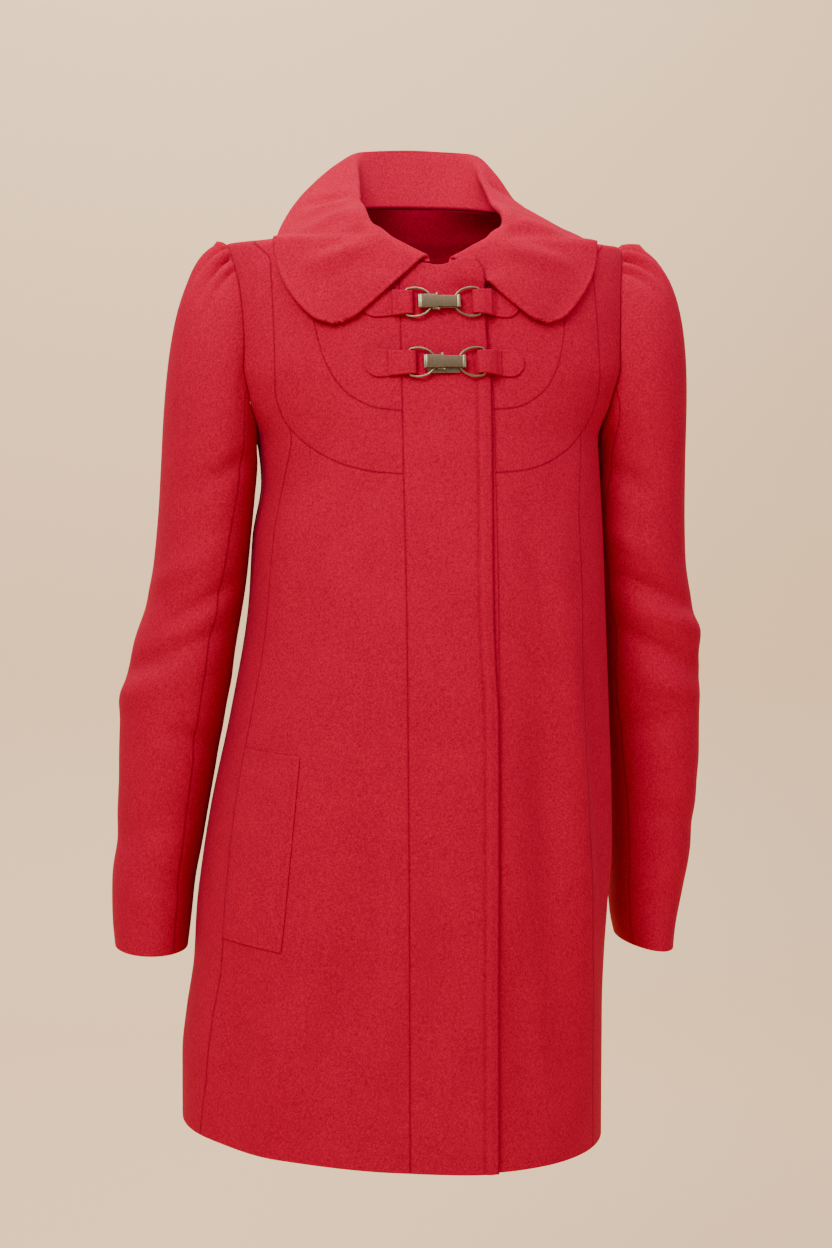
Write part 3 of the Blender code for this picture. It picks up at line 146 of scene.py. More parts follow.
# Sleeves below their heads, one row a section: height, the centre's distances from the middle plane
# and to the back, half-width, half-depth and turn
RIGHT_SLEEVE = table([
    (-671, 252.4, 25, 32.3, 49, 1), (-647, 251.7, 27, 34.9, 50, 0), (-610, 249.3, 30, 37.1, 52, -2),
    (-572, 243.9, 28, 38.9, 54, -4), (-534, 239.4, 27, 41.1, 56, -5),
    (-497, 235.5, 25, 43.8, 57, -6), (-460, 231.4, 22, 46.3, 58, -7),
    (-422, 225.9, 20, 47.3, 59, -8), (-386, 218.7, 18, 45.5, 60, -9),
    (-349, 209.2, 15, 42.4, 60, -9), (-312, 204, 12, 41.8, 61, -8), (-276, 200.5, 10, 41.7, 62, -4),
    (-225, 196.5, 6, 42.5, 64, 4),
], plain=(5,))
LEFT_SLEEVE = table([
    (-686, 220.7, 31, 24.5, 53, 18), (-669, 219.8, 32, 27.5, 53, 17), (-631, 223, 35, 33, 53, 16),
    (-591, 225.6, 33, 37.4, 54, 18), (-552, 226.8, 32, 40.2, 56, 21),
    (-513, 226.5, 30, 42.7, 57, 24), (-474, 223.8, 28, 45, 58, 26), (-435, 221.5, 25, 46.3, 59, 27),
    (-396, 220.5, 22, 46.8, 60, 27), (-357, 213.5, 20, 44.5, 60, 28),
    (-319, 207.2, 18, 43.5, 61, 28), (-281, 205, 15, 43.2, 62, 29), (-225, 203, 12, 44, 64, 20),
], plain=(5,))
FRONT_SEAM_ANGLE = 120.0  # round the sleeve from its outer side, over the front
BACK_SEAM_ANGLE = 240.0
CAP_RISE = {"right": -0.20, "left": 0.10}  # slope of the sleeve head where it leaves the shoulder
CAP_FULLNESS = {"right": 0.80, "left": 1.05}
ARM_ROOM = 4.3 * MM  # from the body form to the middle of the sleeve's wall beside it
UNDERARM_ROOM = 1.9 * MM  # more below the armhole, where the form is hollow
CUFF_TILT = {"right": 0.0, "left": -0.15}

TUCK_LENGTH = 0.055  # from the armhole down to where the sleeve head's tucks end

# Collar sections from the right front end round the back to the left front end: angle round the
# neckline, the roll's place, the free edge's place and how far the leaf bows out
COLLAR = table([
    (-8.7, -12, -87, -42, -88, -101, -101, 2), (-26, -32, -76.5, -32, -107.5, -97.5, -93, 3),
    (-44, -48, -62, -24, -128.5, -83, -68, 4), (-58, -55, -48, -14, -137, -62.5, -47.5, 4),
    (-70, -56, -32, -3, -138.5, -42, -28.5, 4), (-84, -58, -12, 15, -132.5, -20, -11.5, 3),
    (-102, -56, 12, 31, -118, 8, 11, 2), (-120, -56, 30, 45, -94.5, 34, 31, 1),
    (-136, -55, 46, 55, -72.5, 48, 48, 0), (-154, -45, 58.5, 58, -47.5, 60, 61, 0),
    (-180, 0, 69, 57, 0, 73, 64, 0), (-206, 53, 56, 57, 56, 60, 60, 0),
    (-226, 57.5, 43, 51, 76, 45, 40, 0), (-241, 56, 28, 40, 91.5, 23, 11, 1),
    (-256, 55.5, 12, 30, 109, 5, -7.5, 2), (-272, 55.5, -10, 15, 139, -20, -20, 3),
    (-286, 55, -35, -3, 144, -45, -31, 4), (-300, 51, -56, -19, 139, -62, -45.5, 4),
    (-316, 40, -68, -27, 122.5, -83, -66.5, 3), (-336, 22, -77.5, -35, 101, -96, -90.5, 2),
    (-356, 6, -87, -43, 84, -101, -100.5, 2),
], plain=(0,))
COLLAR_ROLL = 0.010

# Pocket welt on the right princess seam: its corners' heights and its front edge
WELT_TOP = -0.476
WELT_BOTTOM = -0.645
WELT_DROP_TOP = -0.0015  # its front corners are lower than those at the seam
WELT_DROP_BOTTOM = -0.0055
WELT_FRONT_TOP = 0.1290
WELT_FRONT_BOTTOM = 0.1470

# Fastenings: height, middle, reach to each ring, shift of the clasp, and how much of the right and
# of the left tab is turned back through its ring
FASTENINGS = {
    "upper": (-0.0838, -0.0030, 0.0263, -0.0036, 0.0170, 0.0160),
    "lower": (-0.1353, -0.0010, 0.0267, -0.0023, 0.0235, 0.0220),
}
TAB_LENGTH = 0.0435
TAB_WIDTH = 0.0240
LOOP_WIDTH = 0.0200
WIRE = 2.2 * MM
RING_HEIGHT = 0.0275
RING_DEPTH = 0.0250
LOOP = 0.0060  # from the ring's straight side to the end of the tab's loop
CLASP_LENGTH = 0.0380
CLASP_WIDTH = 0.0100
CLASP_THICKNESS = 7.0 * MM
CLASP_WALL = 1.6 * MM

# Sums and sampling
TINY = 1e-12
FORM_PROBE = 0.1 * MM  # half the span that the form's slope is measured over
SETTLE_STEPS = 9
KEEP_OFF_STEPS = 3
HEM_STEPS = 12
STEP = 5.0 * MM
OPENING_STEP = 1.6 * MM
FLY_STEP = 3.0 * MM
LAP_STEP = 3.5 * MM
WELT_STEP = 3.0 * MM
NEAR_BORDER = np.array([0, 0.4, 0.9, 1.6, 2.6, 4.2]) * MM  # distances of the close rows at a side
NEAR_EDGE = np.array([0, 0.035, 0.08, 0.15, 0.25, 0.37])
KEY_ROOM = 0.35  # share of a step round a key row that is kept free
STAND_SHARES = np.array([0, 0.06, 0.14, 0.25, 0.4, 0.55, 0.7, 0.85])
ROLL_SHARES = np.linspace(0, 1, 13)[:-1]
LEAF_SHARES = np.concatenate([np.linspace(0, 0.92, 22), [0.945, 0.963, 0.977, 0.987, 0.995, 1.0]])
HEAD_SHARES = np.concatenate([[0, 0.004, 0.010, 0.018, 0.028, 0.042], np.linspace(0.06, 1, 28)])
TIP_SHARES = np.array([0, 0.003, 0.010, 0.022, 0.04, 0.065, 0.10, 0.15, 0.21])

# How the seams run
NECK_POWER = 1.3  # of the neckline's height
LEFT_YOKE_LEAN = (-0.150, 0.110)  # the height where the left yoke seams start to lean in, and the span
SIDE_SEAM_POWER = 0.3
PRINCESS_BLEND = 0.070  # below its start the princess seam takes up its own depth over this
PRINCESS_SHARE = 6 / 17  # where the princess seam starts along the outer yoke seam
OPENING_COLUMNS = (-0.015, 0.010)  # where the neckline bends under the placket, and the fly's edge
UNDERARM_DROP = 0.060  # the side front's rows slope up this much to the underarm

# Seams, edges and stitches of the cloth
SEAM_GAP = 0.04 * MM  # between the drawn pieces at a seam
CORNER_LEAST = 0.03  # keeps a sharp corner of a piece from being drawn in too far
SEAM_PINCH = 0.14
SEAM_PINCH_WIDTH = 1.3 * MM
# half width of the painted shade that darkens the colour along a seam
PAINTED_SEAM_SHADE_WIDTH = 0.9 * MM
EDGE_LEAST = 0.02  # square of the thickness share that is left at a free edge
STITCH_WIDTH = 0.7 * MM
STITCH_DEPTH = 0.30 * MM
# darkness of the painted shade in a pressed stitched line
STITCH_PAINTED_SHADE = 0.25
FOLD_FADE = 1.2  # power of a body fold's fading to its ends
FOLD_SIDE_BLEND = 0.05  # depth over which a fold ends at the side

# Front opening: ramps are a start or end and the span that they take
LEVEL_END = (0.0465, 0.009)
COLLAR_ROOM = 5.4 * MM
COLLAR_ROOM_UP = (-0.071, 0.009)
COLLAR_ROOM_ACROSS = (-0.006, 0.018)
PLACKET_RIDGE = (0.9 * MM, 8.0 * MM, 2.6 * MM)  # height, place from the edge and half width
PLACKET_GROOVE = (0.7 * MM, 13.0 * MM, 2.0 * MM)  # behind the ridge
PLACKET_TURN_DOWN = (0.060, 0.040)
TOP_BAND = (0.5 * MM, 9.0 * MM, 1.6 * MM)  # depth, place below the top and half width
TOP_BAND_ACROSS = (-0.008, 0.006)
# Painted shade along the placket's free edge and in its groove: darkness, place and half width
EDGE_PAINTED_SHADE = (1.2, 0.0, 1.8 * MM)  # darkness, place and half width
GROOVE_PAINTED_SHADE = (0.6, 13.0 * MM, 1.4 * MM)
PLACKET_SIZE = (0.80, 0.078)  # length and width that the rows and columns are spread for
FLY_SIZE = (0.68, 0.030)
LAP_SIZE = (0.80, 0.052)

# Pocket welt
WELT_WIDTH = 0.060
WELT_SEAM_ROOM = 0.9 * MM
WELT_CURVE = 0.8  # power that draws the columns closer at the seam
WELT_STITCH = 5.0 * MM

# Collar
COLLAR_NEAR = np.array([0, 0.015, 0.035, 0.065, 0.10, 0.15])  # close columns at its ends, in sections
COLLAR_REST = 0.2
COLLAR_COLUMNS_A_SECTION = 7
STAND_SINK = 0.6 * MM  # the stand's foot goes this far into the neck edge, so that no gap shows
UNDER_PLACKET = -300  # past this angle the collar lies on the underlap
OVER_SEAM = -60  # before this angle it lies on the placket's slope
ROLL_MOST = (0.6, 0.5)  # the roll's largest shares of the stand and of the leaf
LEAF_REACH = 0.011  # how much fuller the leaf's front half is than the solid's
LEAF_REACH_END = (4.6, 2.5)  # sections from the front end where that is over, and the span
TIP_BOW = 2.5 * MM
TIP_BOW_WIDTH = 0.9  # in sections
TIP_BOW_POWER = 1.4  # moves the bow towards the free edge
TIP_RADIUS = 0.026  # of the collar's two tips
CORNER_START = 0.25  # sections from the end where the smoothing of the free edge starts
CORNER_SPAN = 0.2
CORNER_END = 7.5
CORNER_ROUNDS = 60
LEAF_START = 0.02  # share of the leaf that counts as the roll
COLLAR_OFF = 1.8 * MM  # more than the least room, except on the left of the opening
COLLAR_OFF_END = (0.060, 0.015)
TAB_IN = (0.034, 0.008)  # where the tab lies under the leaf, across and up
TAB_OUT = (0.092, 0.016)
TAB_DOWN = (-0.058, 0.010)
PRESSED = 0.40  # share of the distance between stand and leaf that each may fill
CREASE_ENDS = (0.08, 0.84)
CREASE_FADE = 0.8
CREASE_START = 0.10
EDGE_ROLL = (0.35 * MM, 4.0 * MM, 1.4 * MM)  # the turned edge's height, place and half width
EDGE_ROLL_START = 0.05

# Sleeves
ARMHOLE_LENGTH = 0.165  # of one half, for the close columns at the sleeve's seams
SLEEVE_COLUMN_COUNT = 101
SLEEVE_SEAM_ROOM = 0.006
HEAD_DOWN = (0.75, 0.25)  # how steeply the sleeve leaves the underarm, and less towards the shoulder
HEAD_OUT = (0.50, 0.35)  # how far out it leaves, and more at the shoulder
HEAD_DEEP = 0.35  # how far it leaves to the front and back
HEAD_PROBE = 0.02
HEAD_ROUNDS = 4
SLEEVE_SINK = 0.45 * MM  # the first row lies this far inside the armhole, so that no gap shows
SLEEVE_CLEAR = 1.2  # of the seam gap, round the armhole's edge
FIRST_ROW = 0.6  # share of a step that is left below the sleeve head
CUFF_POWER = 4
UNDERARM_FOLD = 1.4  # how soon the cloth counts as folded back under the arm
UNDERARM_HOLLOW = (-0.212, 0.022)  # height and half width
UNDERARM_SLOPE = 0.25
ARM_SLOPE = 0.45
ARM_CREASE_START = 0.03
STILL_ROWS = 6  # rows at the armhole that the smoothing leaves alone
TUCK_START = 3.0 * MM
TUCK_FADE = 1.2
TUCK_SPREAD = (0.75, 0.05)  # share of a tuck's width at the armhole, and the length that adds one
TUCK_BULGE = (0.35, 2.4, 1.3)  # share of the depth, and place and half width in tuck widths
ARM_SMOOTHING = 3

# Fastenings
RING_ARC = 118  # degrees of the ring's arc on each side of its far point
RING_POINTS = 121
RING_SIDE = 0.8  # half the straight side's points span this much of it
RING_SMOOTHING = 6
TAB_STITCH = 3.2 * MM
TAB_WIDENING = 1.2 * MM  # of the turned-back layer, towards its end
TAB_TIP_LEAST = 0.004  # square of the least share of the tip's half width
LOOP_TURN = 75  # degrees
WIRE_SWELL = 0.006  # half width of the turned-back layer's rise over the wire
CLASP_ROOM = 0.5 * MM  # under the clasp
CLASP_STEP = -0.0021  # where the clasp's wider part ends, across from its middle
CLASP_WIDER = (0.9 * MM, 0.5 * MM)  # above and below
CLASP_BLEND = 1.0 * MM
CLASP_BACK = {"upper": 0.0, "lower": 0.0045}  # how far the back plate reaches below the front one
CLASP_BACK_BLEND = 2.0 * MM
CLASP_ROUND = 0.45 * MM
CLASP_SHARP = 50  # degrees past which an edge is drawn sharp
# Parts of the clasp: places across, up and out from its middle, 1 if the part lies along it, the
# radius and the length, which is 0 for a ball
CLASP_PARTS = table([
    (16.8, 0, 1.9, 0, 2.3, 11.2), (-17.5, 0, 1.6, 0, 1.6, 11.6), (-2.1, 6, 1.7, 0, 1.5, 3.4),
    (-3.1, -6.4, 1.1, 1, 0.8, 6.5), (-0.5, -6.6, 1.5, 0, 1.3, 0),
], plain=(3,))

# Finishes
FUZZ = (1500, 2.0, 0.6)  # scale, detail and roughness of each noise
GRAIN = (620, 3.0, 0.65)
CLOUD = (26, 2.0, 0.5)
PATINA = (260, 4.0, 0.6)
METAL_GRAIN = (2600, 2.0, 0.5)
GRAIN_TONE = (1.45, -0.01)  # what the pattern is multiplied by, and what is then added
FUZZ_TONE = 0.44
CLOUD_TONE = 0.16
PATINA_TONE = (1.3, 0.30)
PATINA_ROUGHNESS = (-0.30, 0.50)
NAP_HEIGHT = (0.6, 0.4)  # shares of grain and fuzz
WOOL_SHADER = {
    "Roughness": 0.92, "Specular IOR Level": 0.06, "Sheen Weight": 0.06, "Sheen Roughness": 0.45,
    "Sheen Tint": (1.0, 0.20, 0.40, 1),
}
WOOL_BUMP = {"Strength": 0.45, "Distance": 0.45 * MM}
BRASS_BUMP = {"Strength": 0.25, "Distance": 0.10 * MM}
# Soft folds of the body: a line's two ends, each across and up, its half width and height, and -1
# for the front or 1 for the back
FOLDS = table([
    (100, -250, 139, -800, 15, 2.6, -1), (76, -330, 103, -840, 17, -2.4, -1),
    (50, -440, 58, -700, 13, 1.2, -1), (48, -600, 78, -860, 14, -1.8, -1),
    (128, -360, 152, -640, 12, -1.8, -1), (-70, -500, -118, -850, 19, -2.6, -1),
    (-48, -420, -62, -860, 18, 1.6, -1), (-120, -620, -170, -870, 18, 2.4, -1),
    (-98, -250, -150, -470, 14, -2, -1), (-125, -240, -163, -400, 10, 0.6, -1),
    (-172, -640, -205, -860, 15, -2.2, -1), (-12, -520, -20, -850, 14, -1.1, -1),
    (12, -330, 10, -620, 16, 0.8, -1), (-60, -215, -105, -330, 12, -1.1, -1),
    (62, -240, 92, -370, 11, -1.2, -1), (0, -120, 6, -500, 19, -2.4, 1),
    (-62, -300, -90, -860, 20, 3, 1), (-20, -420, -34, -860, 17, -2.4, 1),
    (50, -330, 66, -860, 19, 2.8, 1), (98, -260, 124, -820, 17, -2.8, 1),
    (-110, -240, -168, -850, 18, -2.6, 1), (20, -560, 26, -860, 15, -1.6, 1),
    (-150, -420, -205, -860, 15, 2, 1), (-105, -110, -60, -230, 14, -1.8, 1),
    (104, -100, 58, -220, 13, -2, 1),
], plain=(6,))

# Soft creases of the collar's leaf: a line's two ends, half width and height
COLLAR_FOLDS = table([
    (-54, -77, -16, -123, -74, -37, 5.5, -2.2), (-62, -84, -33, -120, -83, -52, 8, 2),
    (-60, -2, 14, -110, -8, 8, 5.5, -2.2), (-60, -48, -2, -118, -54, -18, 8, 2),
    (47, -78, -20, 129, -70, -32.5, 5.5, -2), (60, -40, 0, 105, -42, -8, 5.5, -1.8),
    (60, -60, -10, 122, -58, -22, 7.5, 2), (56, 20, 33, 90, 24, 15, 6, -1.2),
    (55, -85, -36, 118, -83, -48, 8, 1.7), (-60, -20, 8, -115, -25, -3, 7, 1.5),
])

# Tucks of the sleeve heads: place along the armhole from the shoulder point, to the front if
# positive, lean, depth and half width
HEAD_TUCKS = {
    "right": table([
        (10, 0.1, 4, 3.4), (25, 0.2, 4, 3.4), (40, 0.24, 1.8, 3), (-9, -0.06, 3.4, 3.4),
        (-24.5, -0.12, 3.4, 3.4),
    ], plain=(1,)),
    "left": table([
        (8, 0.05, 3, 3.2), (23, 0.16, 4.4, 3.8), (38, 0.2, 2, 3), (-9, -0.05, 3.6, 3.4),
        (-24, -0.12, 4, 3.4),
    ], plain=(1,)),
}

# Soft creases of the sleeves: height, slope over a quarter turn, the angle round the arm where
# each is deepest, its reach round the arm, half width and height
SLEEVE_FOLDS = {
    "right": table([
        (-395, 30, 70, 55, 12, -2.4), (-430, 26, 40, 50, 14, 2), (-350, 40, 95, 40, 11, -2),
        (-320, 34, 60, 45, 13, 1.4), (-470, -20, 110, 45, 12, -1.6), (-560, 20, 50, 60, 16, -1.4),
        (-620, -14, 90, 50, 13, 1.2), (-230, 30, 100, 35, 12, -1.6), (-380, -30, 290, 55, 13, -2.2),
        (-440, -22, 250, 50, 13, 1.8), (-530, 18, 280, 55, 14, -1.6),
    ], plain=(2, 3)),
    "left": table([
        (-345, 28, 60, 50, 11, -2.6), (-372, 22, 40, 45, 11, 2.2), (-400, 34, 65, 50, 11.5, -2.6),
        (-432, 22, 55, 45, 13, 1.8), (-470, -18, 90, 45, 12, -1.4), (-300, 34, 85, 40, 12, 1.4),
        (-560, 18, 50, 60, 15, -1.4), (-620, -12, 90, 50, 14, 1.2), (-240, 30, 95, 35, 12, -1.6),
        (-385, -28, 290, 55, 13, -2.4), (-450, -20, 255, 50, 13, 1.8),
        (-540, 16, 285, 55, 14, -1.4),
    ], plain=(2, 3)),
}

# Studio; each light has a place, a point that it faces, a size, a power and a colour
CAMERA_TURN = -10.0  # degrees that the camera is turned, to the wearer's right
FLOOR_HEIGHT = -1.35
BACKDROP_DEPTH = 2.8
BACKDROP_TOP = 4.0
BACKDROP_HALF_WIDTH = 6.0
BACKDROP_BEND = 0.6
FLOOR_FRONT = -4.5
WORLD_LEVEL = 0.36
WORLD_COLOUR = (1.0, 0.97, 0.94, 1)
LIGHTS = {
    "key": ((-1.1, -1.7, 1.2), (0.0, 0.0, -0.10), 1.2, 64.0, (1.0, 0.97, 0.93)),
    "fill": ((1.7, -1.6, 0.5), (0.0, 0.0, -0.25), 1.8, 17.0, (1.0, 0.98, 0.96)),
    "top": ((0.1, -0.8, 1.4), (0.0, 0.0, -0.1), 1.2, 8.0, (1.0, 0.98, 0.95)),
    "wall": ((0.0, 0.9, 2.1), (0.0, 2.8, -0.3), 2.4, 130.0, (1.0, 0.96, 0.90)),
}


# ---- short sums

def smooth(share):
    """A share eased in and out: three squares less two cubes, level at 0 and 1."""
    share = np.clip(share, 0, 1)
    return share * share * (3 - 2 * share)


def rise(value, start, span):
    """0 up to the start and 1 from a span past it, eased between them."""
    return smooth((value - start) / span)


def fall(value, end, span):
    """1 up to a span before the end and 0 from the end on, eased between them."""
    return smooth((end - value) / span)


def bell(ratio):
    """A bell curve: e to the power of less the ratio's square."""
    return np.exp(-(ratio**2))


def ridge(distance, height, place, half_width):
    """A bell curve of this height and half width at one place along a distance."""
    return height * bell((distance - place) / half_width)


def unit(vectors):
    """Vectors divided by their lengths."""
    return vectors / np.maximum(np.linalg.norm(vectors, axis=-1, keepdims=True), TINY)


def hermite(part, start, leave, end, arrive):
    """The cubic from start to end that leaves and arrives along the two given slopes."""
    return (
        (2 * part**3 - 3 * part**2 + 1) * start + (part**3 - 2 * part**2 + part) * leave
        + (3 * part**2 - 2 * part**3) * end + (part**3 - part**2) * arrive
    )


def settings():
    """The coat's settings in this scene."""
    return bpy.context.scene.coat


# ---- curves and the body's form

def through_rows(rows, at):
    """Values between a table's rows, the first column being where each row is. Each row's slope is
    the weighted harmonic mean of those beside it, or none where they turn, so nothing overshoots."""
    place, values = rows[:, 0], rows[:, 1:]
    span = np.diff(place)[:, None]
    rate = np.diff(values, axis=0) / span
    before, after = rate[:-1], rate[1:]
    weight_before = 2 * span[1:] + span[:-1]
    weight_after = span[1:] + 2 * span[:-1]
    turning = before * after <= 0
    safe_before = np.where(turning, 1.0, before)
    safe_after = np.where(turning, 1.0, after)
    mean = (weight_before + weight_after) / (weight_before / safe_before + weight_after / safe_after)
    slope = np.concatenate([rate[:1], np.where(turning, 0.0, mean), rate[-1:]])
    at = np.clip(np.asarray(at, float), place[0], place[-1])
    row = np.clip(np.searchsorted(place, at) - 1, 0, len(place) - 2)
    part = ((at - place[row]) / span[row, 0])[..., None]
    step = span[row]
    return hermite(part, values[row], step * slope[row], values[row + 1], step * slope[row + 1])


def outline_at(points):
    """Half-width, half-depth and squareness of the body form beside each point."""
    columns = through_rows(BODY, points[..., 2])
    width = np.where(points[..., 0] < 0, columns[..., 0], columns[..., 1])
    depth = np.where(points[..., 1] < CENTRE_DEPTH, columns[..., 2], columns[..., 3])
    return width, depth, columns[..., 4]


def form(points):
    """Zero on the body form and negative inside it: the shares of the half-width and half-depth,
    each to the power of the squareness, added up, then that power's root, less one."""
    width, depth, square = outline_at(points)
    across = np.abs(points[..., 0]) / width
    deep = np.abs(points[..., 1] - CENTRE_DEPTH) / depth
    return (across**square + deep**square + TINY) ** (1 / square) - 1


def form_slope(points):
    """The form's slope along each axis, from its values on both sides of each point."""
    sides = [(form(points + FORM_PROBE * axis) - form(points - FORM_PROBE * axis)) / (2 * FORM_PROBE)
             for axis in np.eye(3)]
    return np.stack(sides, axis=-1)


def outward(points):
    """The form's outward direction at each point, which every wall takes its thickness along."""
    return unit(form_slope(points))


def settle(points):
    """Moves points onto the body form by Newton's steps along its slope."""
    for _ in range(SETTLE_STEPS):
        slope = form_slope(points)
        points = points - (form(points) / (slope**2).sum(-1))[..., None] * slope
    return points


def keep_off(points, least):
    """Moves points that are nearer to the body form than least outwards to that distance."""
    for _ in range(KEEP_OFF_STEPS):
        slope = form_slope(points)
        steep = np.linalg.norm(slope, axis=-1)
        short = np.maximum(least - form(points) / steep, 0)
        points = points + short[..., None] * slope / steep[..., None]
    return points


def other_share(offset, reach, square):
    """The share left for the other axis of the form's outline at this offset along one axis."""
    return np.clip(1 - (np.abs(offset) / reach) ** square, 0, 1) ** (1 / square)


def front_point(across, height):
    """The point of the form's front at this distance from the centre front and this height."""
    across, height = np.broadcast_arrays(across, height)
    probe = np.stack([across, np.full(across.shape, -1.0), height], axis=-1)
    width, depth, square = outline_at(probe)
    out = depth * other_share(across, width, square)
    return np.stack([across, CENTRE_DEPTH - out, height], axis=-1)


def side_point(side, deep, height):
    """The point of the form's side (-1 right, 1 left) at this depth and height."""
    deep, height = np.broadcast_arrays(deep, height)
    probe = np.stack([np.full(deep.shape, float(side)), deep, height], axis=-1)
    width, depth, square = outline_at(probe)
    across = side * width * other_share(deep - CENTRE_DEPTH, depth, square)
    return np.stack([across, deep, height], axis=-1)


def along(curve, shares):
    """Points of a curve at shares of its length, between its own points in straight lines."""
    step = np.linalg.norm(np.diff(curve[:, :3], axis=0), axis=1)
    length = np.concatenate([[0], np.cumsum(step)])
    at = np.asarray(shares) * length[-1]
    return np.stack([np.interp(at, length, column) for column in curve.T], axis=1)


def evenly(points):
    """The same curve as short pieces of equal length."""
    return along(points, FINE)


def closed_loop(points, count):
    """A closed line of this many points at equal distances, the last joined to the first."""
    return along(np.vstack([points, points[:1]]), np.linspace(0, 1, count))[:-1]


def chain(*curves):
    """Curves joined end to end, their shared points once."""
    return np.concatenate([curves[0]] + [curve[1:] for curve in curves[1:]])


def length_of(curve):
    """The sum of a curve's steps."""
    return np.linalg.norm(np.diff(curve[:, :3], axis=0), axis=1).sum()


# ---- seams

def hem_height(across):
    """A slope across the coat and a rise by the square of the distance from the centre."""
    return HEM_HEIGHT + HEM_TILT * across + HEM_RISE * across**2


def shoulder_seam(side, start, end):
    """Along the shoulder between two heights, on the ridge of the form."""
    height = start + (end - start) * FINE
    return evenly(side_point(side, np.full(FINE.shape, CENTRE_DEPTH), height))


def yoke_seam(side, rows, shoulder_height):
    """A yoke seam from the centre piece round to the shoulder seam, the left one leaning in."""
    start = rows[0].copy()
    start[0] = LEFT_FRONT_SEAM if side > 0 else -PLACKET_SEAM
    rows = np.vstack([start, rows[1:]])
    index = np.arange(len(rows))[:, None]
    flat = through_rows(np.hstack([index, rows]), FINE * (len(rows) - 1))
    across = flat[:, 0]
    if side > 0:
        lean_start, lean_span = LEFT_YOKE_LEAN
        across = across + LEFT_YOKE_SHIFT * np.clip((flat[:, 1] - lean_start) / lean_span, 0, 1)
    front = front_point(side * across, flat[:, 1])
    end = side_point(side, CENTRE_DEPTH, shoulder_height)
    return evenly(settle(np.vstack([front, front[-1] + (end - front[-1]) * 0.5, end])))


def neck_curve(start, end):
    """The neckline between two angles from the centre front, positive to the left, with them: its
    distance across goes with the sine, its height with a power of the cosine."""
    angle = np.radians(start + (end - start) * FINE)
    facing = np.cos(angle)
    across = NECK_WIDTH * np.sin(angle)
    height = np.where(facing > 0, NECK_FRONT, NECK_BACK) * np.abs(facing) ** NECK_POWER
    probe = np.stack([across, np.where(facing > 0, -1.0, 1.0), height], axis=-1)
    width, depth, square = outline_at(probe)
    deep = CENTRE_DEPTH - np.sign(facing) * depth * other_share(across, width, square)
    return evenly(np.stack([across, deep, height, start + (end - start) * FINE], axis=-1))


def neck_angle(across):
    """The neckline's angle at this distance from the centre front."""
    return np.degrees(np.arcsin(across / NECK_WIDTH))


def neck_height(across):
    """The front neckline's height at this distance from the centre front."""
    return NECK_FRONT * (1 - (across / NECK_WIDTH) ** 2) ** (NECK_POWER / 2)


def armhole(side, front):
    """Front or back half of the armhole, from the shoulder point down to the underarm: half an
    ellipse in side view, wider below than above."""
    angle = np.pi * FINE
    reach = -ARMHOLE_FRONT if front else ARMHOLE_BACK
    height = ARMHOLE_MIDDLE + ARMHOLE_HALF_HEIGHT * np.cos(angle)
    deep = CENTRE_DEPTH * (1 - FINE) + reach * np.sin(angle) * (1 - ARMHOLE_EGG * np.cos(angle))
    return evenly(side_point(side, deep, height))


def side_seam(side):
    """From the underarm down to the hem, soon at its full depth."""
    start = ARMHOLE_MIDDLE - ARMHOLE_HALF_HEIGHT
    reach = side_point(side, SIDE_SEAM_DEPTH, HEM_HEIGHT)[0]
    height = start + (hem_height(reach) - start) * FINE
    return evenly(side_point(side, SIDE_SEAM_DEPTH * FINE**SIDE_SEAM_POWER, height))


def princess_seam(side, start):
    """From its start on the outer yoke seam down to the hem, its depth eased into the table's."""
    reach = side_point(side, PRINCESS[0, 1 if side < 0 else 2], HEM_HEIGHT)[0]
    height = start[2] + (hem_height(reach) - start[2]) * FINE
    deep = through_rows(PRINCESS, height)[:, 0 if side < 0 else 1]
    deep = start[1] + (deep - start[1]) * fall(height, start[2], PRINCESS_BLEND)
    return evenly(side_point(side, deep, height))


def straight_edge(across, start, end):
    """A line down the front at one distance from the centre."""
    return evenly(front_point(across, start + (end - start) * FINE))


def hem_curve(start, end, back=False):
    """Along the hem between two points of it: rays at even angles, each drawn out to the form."""
    middle = np.array([0, CENTRE_DEPTH, HEM_HEIGHT])
    sign = 1 if back else -1
    first = np.arctan2(start[0] - middle[0], sign * (start[1] - middle[1]))
    last = np.arctan2(end[0] - middle[0], sign * (end[1] - middle[1]))
    angle = first + (last - first) * FINE
    reach = 0.3
    for _ in range(HEM_STEPS):
        points = np.stack([reach * np.sin(angle), middle[1] + sign * reach * np.cos(angle),
                           hem_height(reach * np.sin(angle))], axis=-1)
        reach = reach / (1 + form(points))
    points[0], points[-1] = start, end
    return evenly(points)


# ---- levels of the front opening

PLACKET_RISE = CLOTH + FLY_CLOTH + 3.5 * GAP


def rise_share(across):
    """0 at the placket seam to 1 where the placket is level again."""
    return np.clip((across - PLACKET_SEAM) / (RISE_END - PLACKET_SEAM), 0, 1)


def collar_room(points):
    """The placket's top corner bows out over the collar's left end, which passes under it."""
    up = rise(points[..., 2], *COLLAR_ROOM_UP)
    return COLLAR_ROOM * up * rise(points[..., 0], *COLLAR_ROOM_ACROSS)


def placket_level(points):
    """Level of the placket's middle above the body form."""
    return PLACKET_RISE * rise_share(points[..., 0]) + collar_room(points)


def underlap_level(points):
    """Level of the underlap's middle, which is negative: it lies under the placket."""
    return PLACKET_RISE * (rise_share(points[..., 0]) - 1)


def placket_top(across):
    """Height of the placket's top: the neckline, and its own edge past the centre front."""
    free = through_rows(PLACKET_TOP, across)[..., 0]
    return np.where(across < PLACKET_TOP[0, 0], neck_height(across), free)


def surface_level(across):
    """Level of the top of the cloth under a fastening, above the body form."""
    return CLOTH / 2 + PLACKET_RISE * rise_share(across) * fall(across, *LEVEL_END)


def on_front(across, height, level):
    """Points of the front at a level above the body form."""
    base = front_point(across, height)
    return base + outward(base) * np.asarray(level)[..., None]


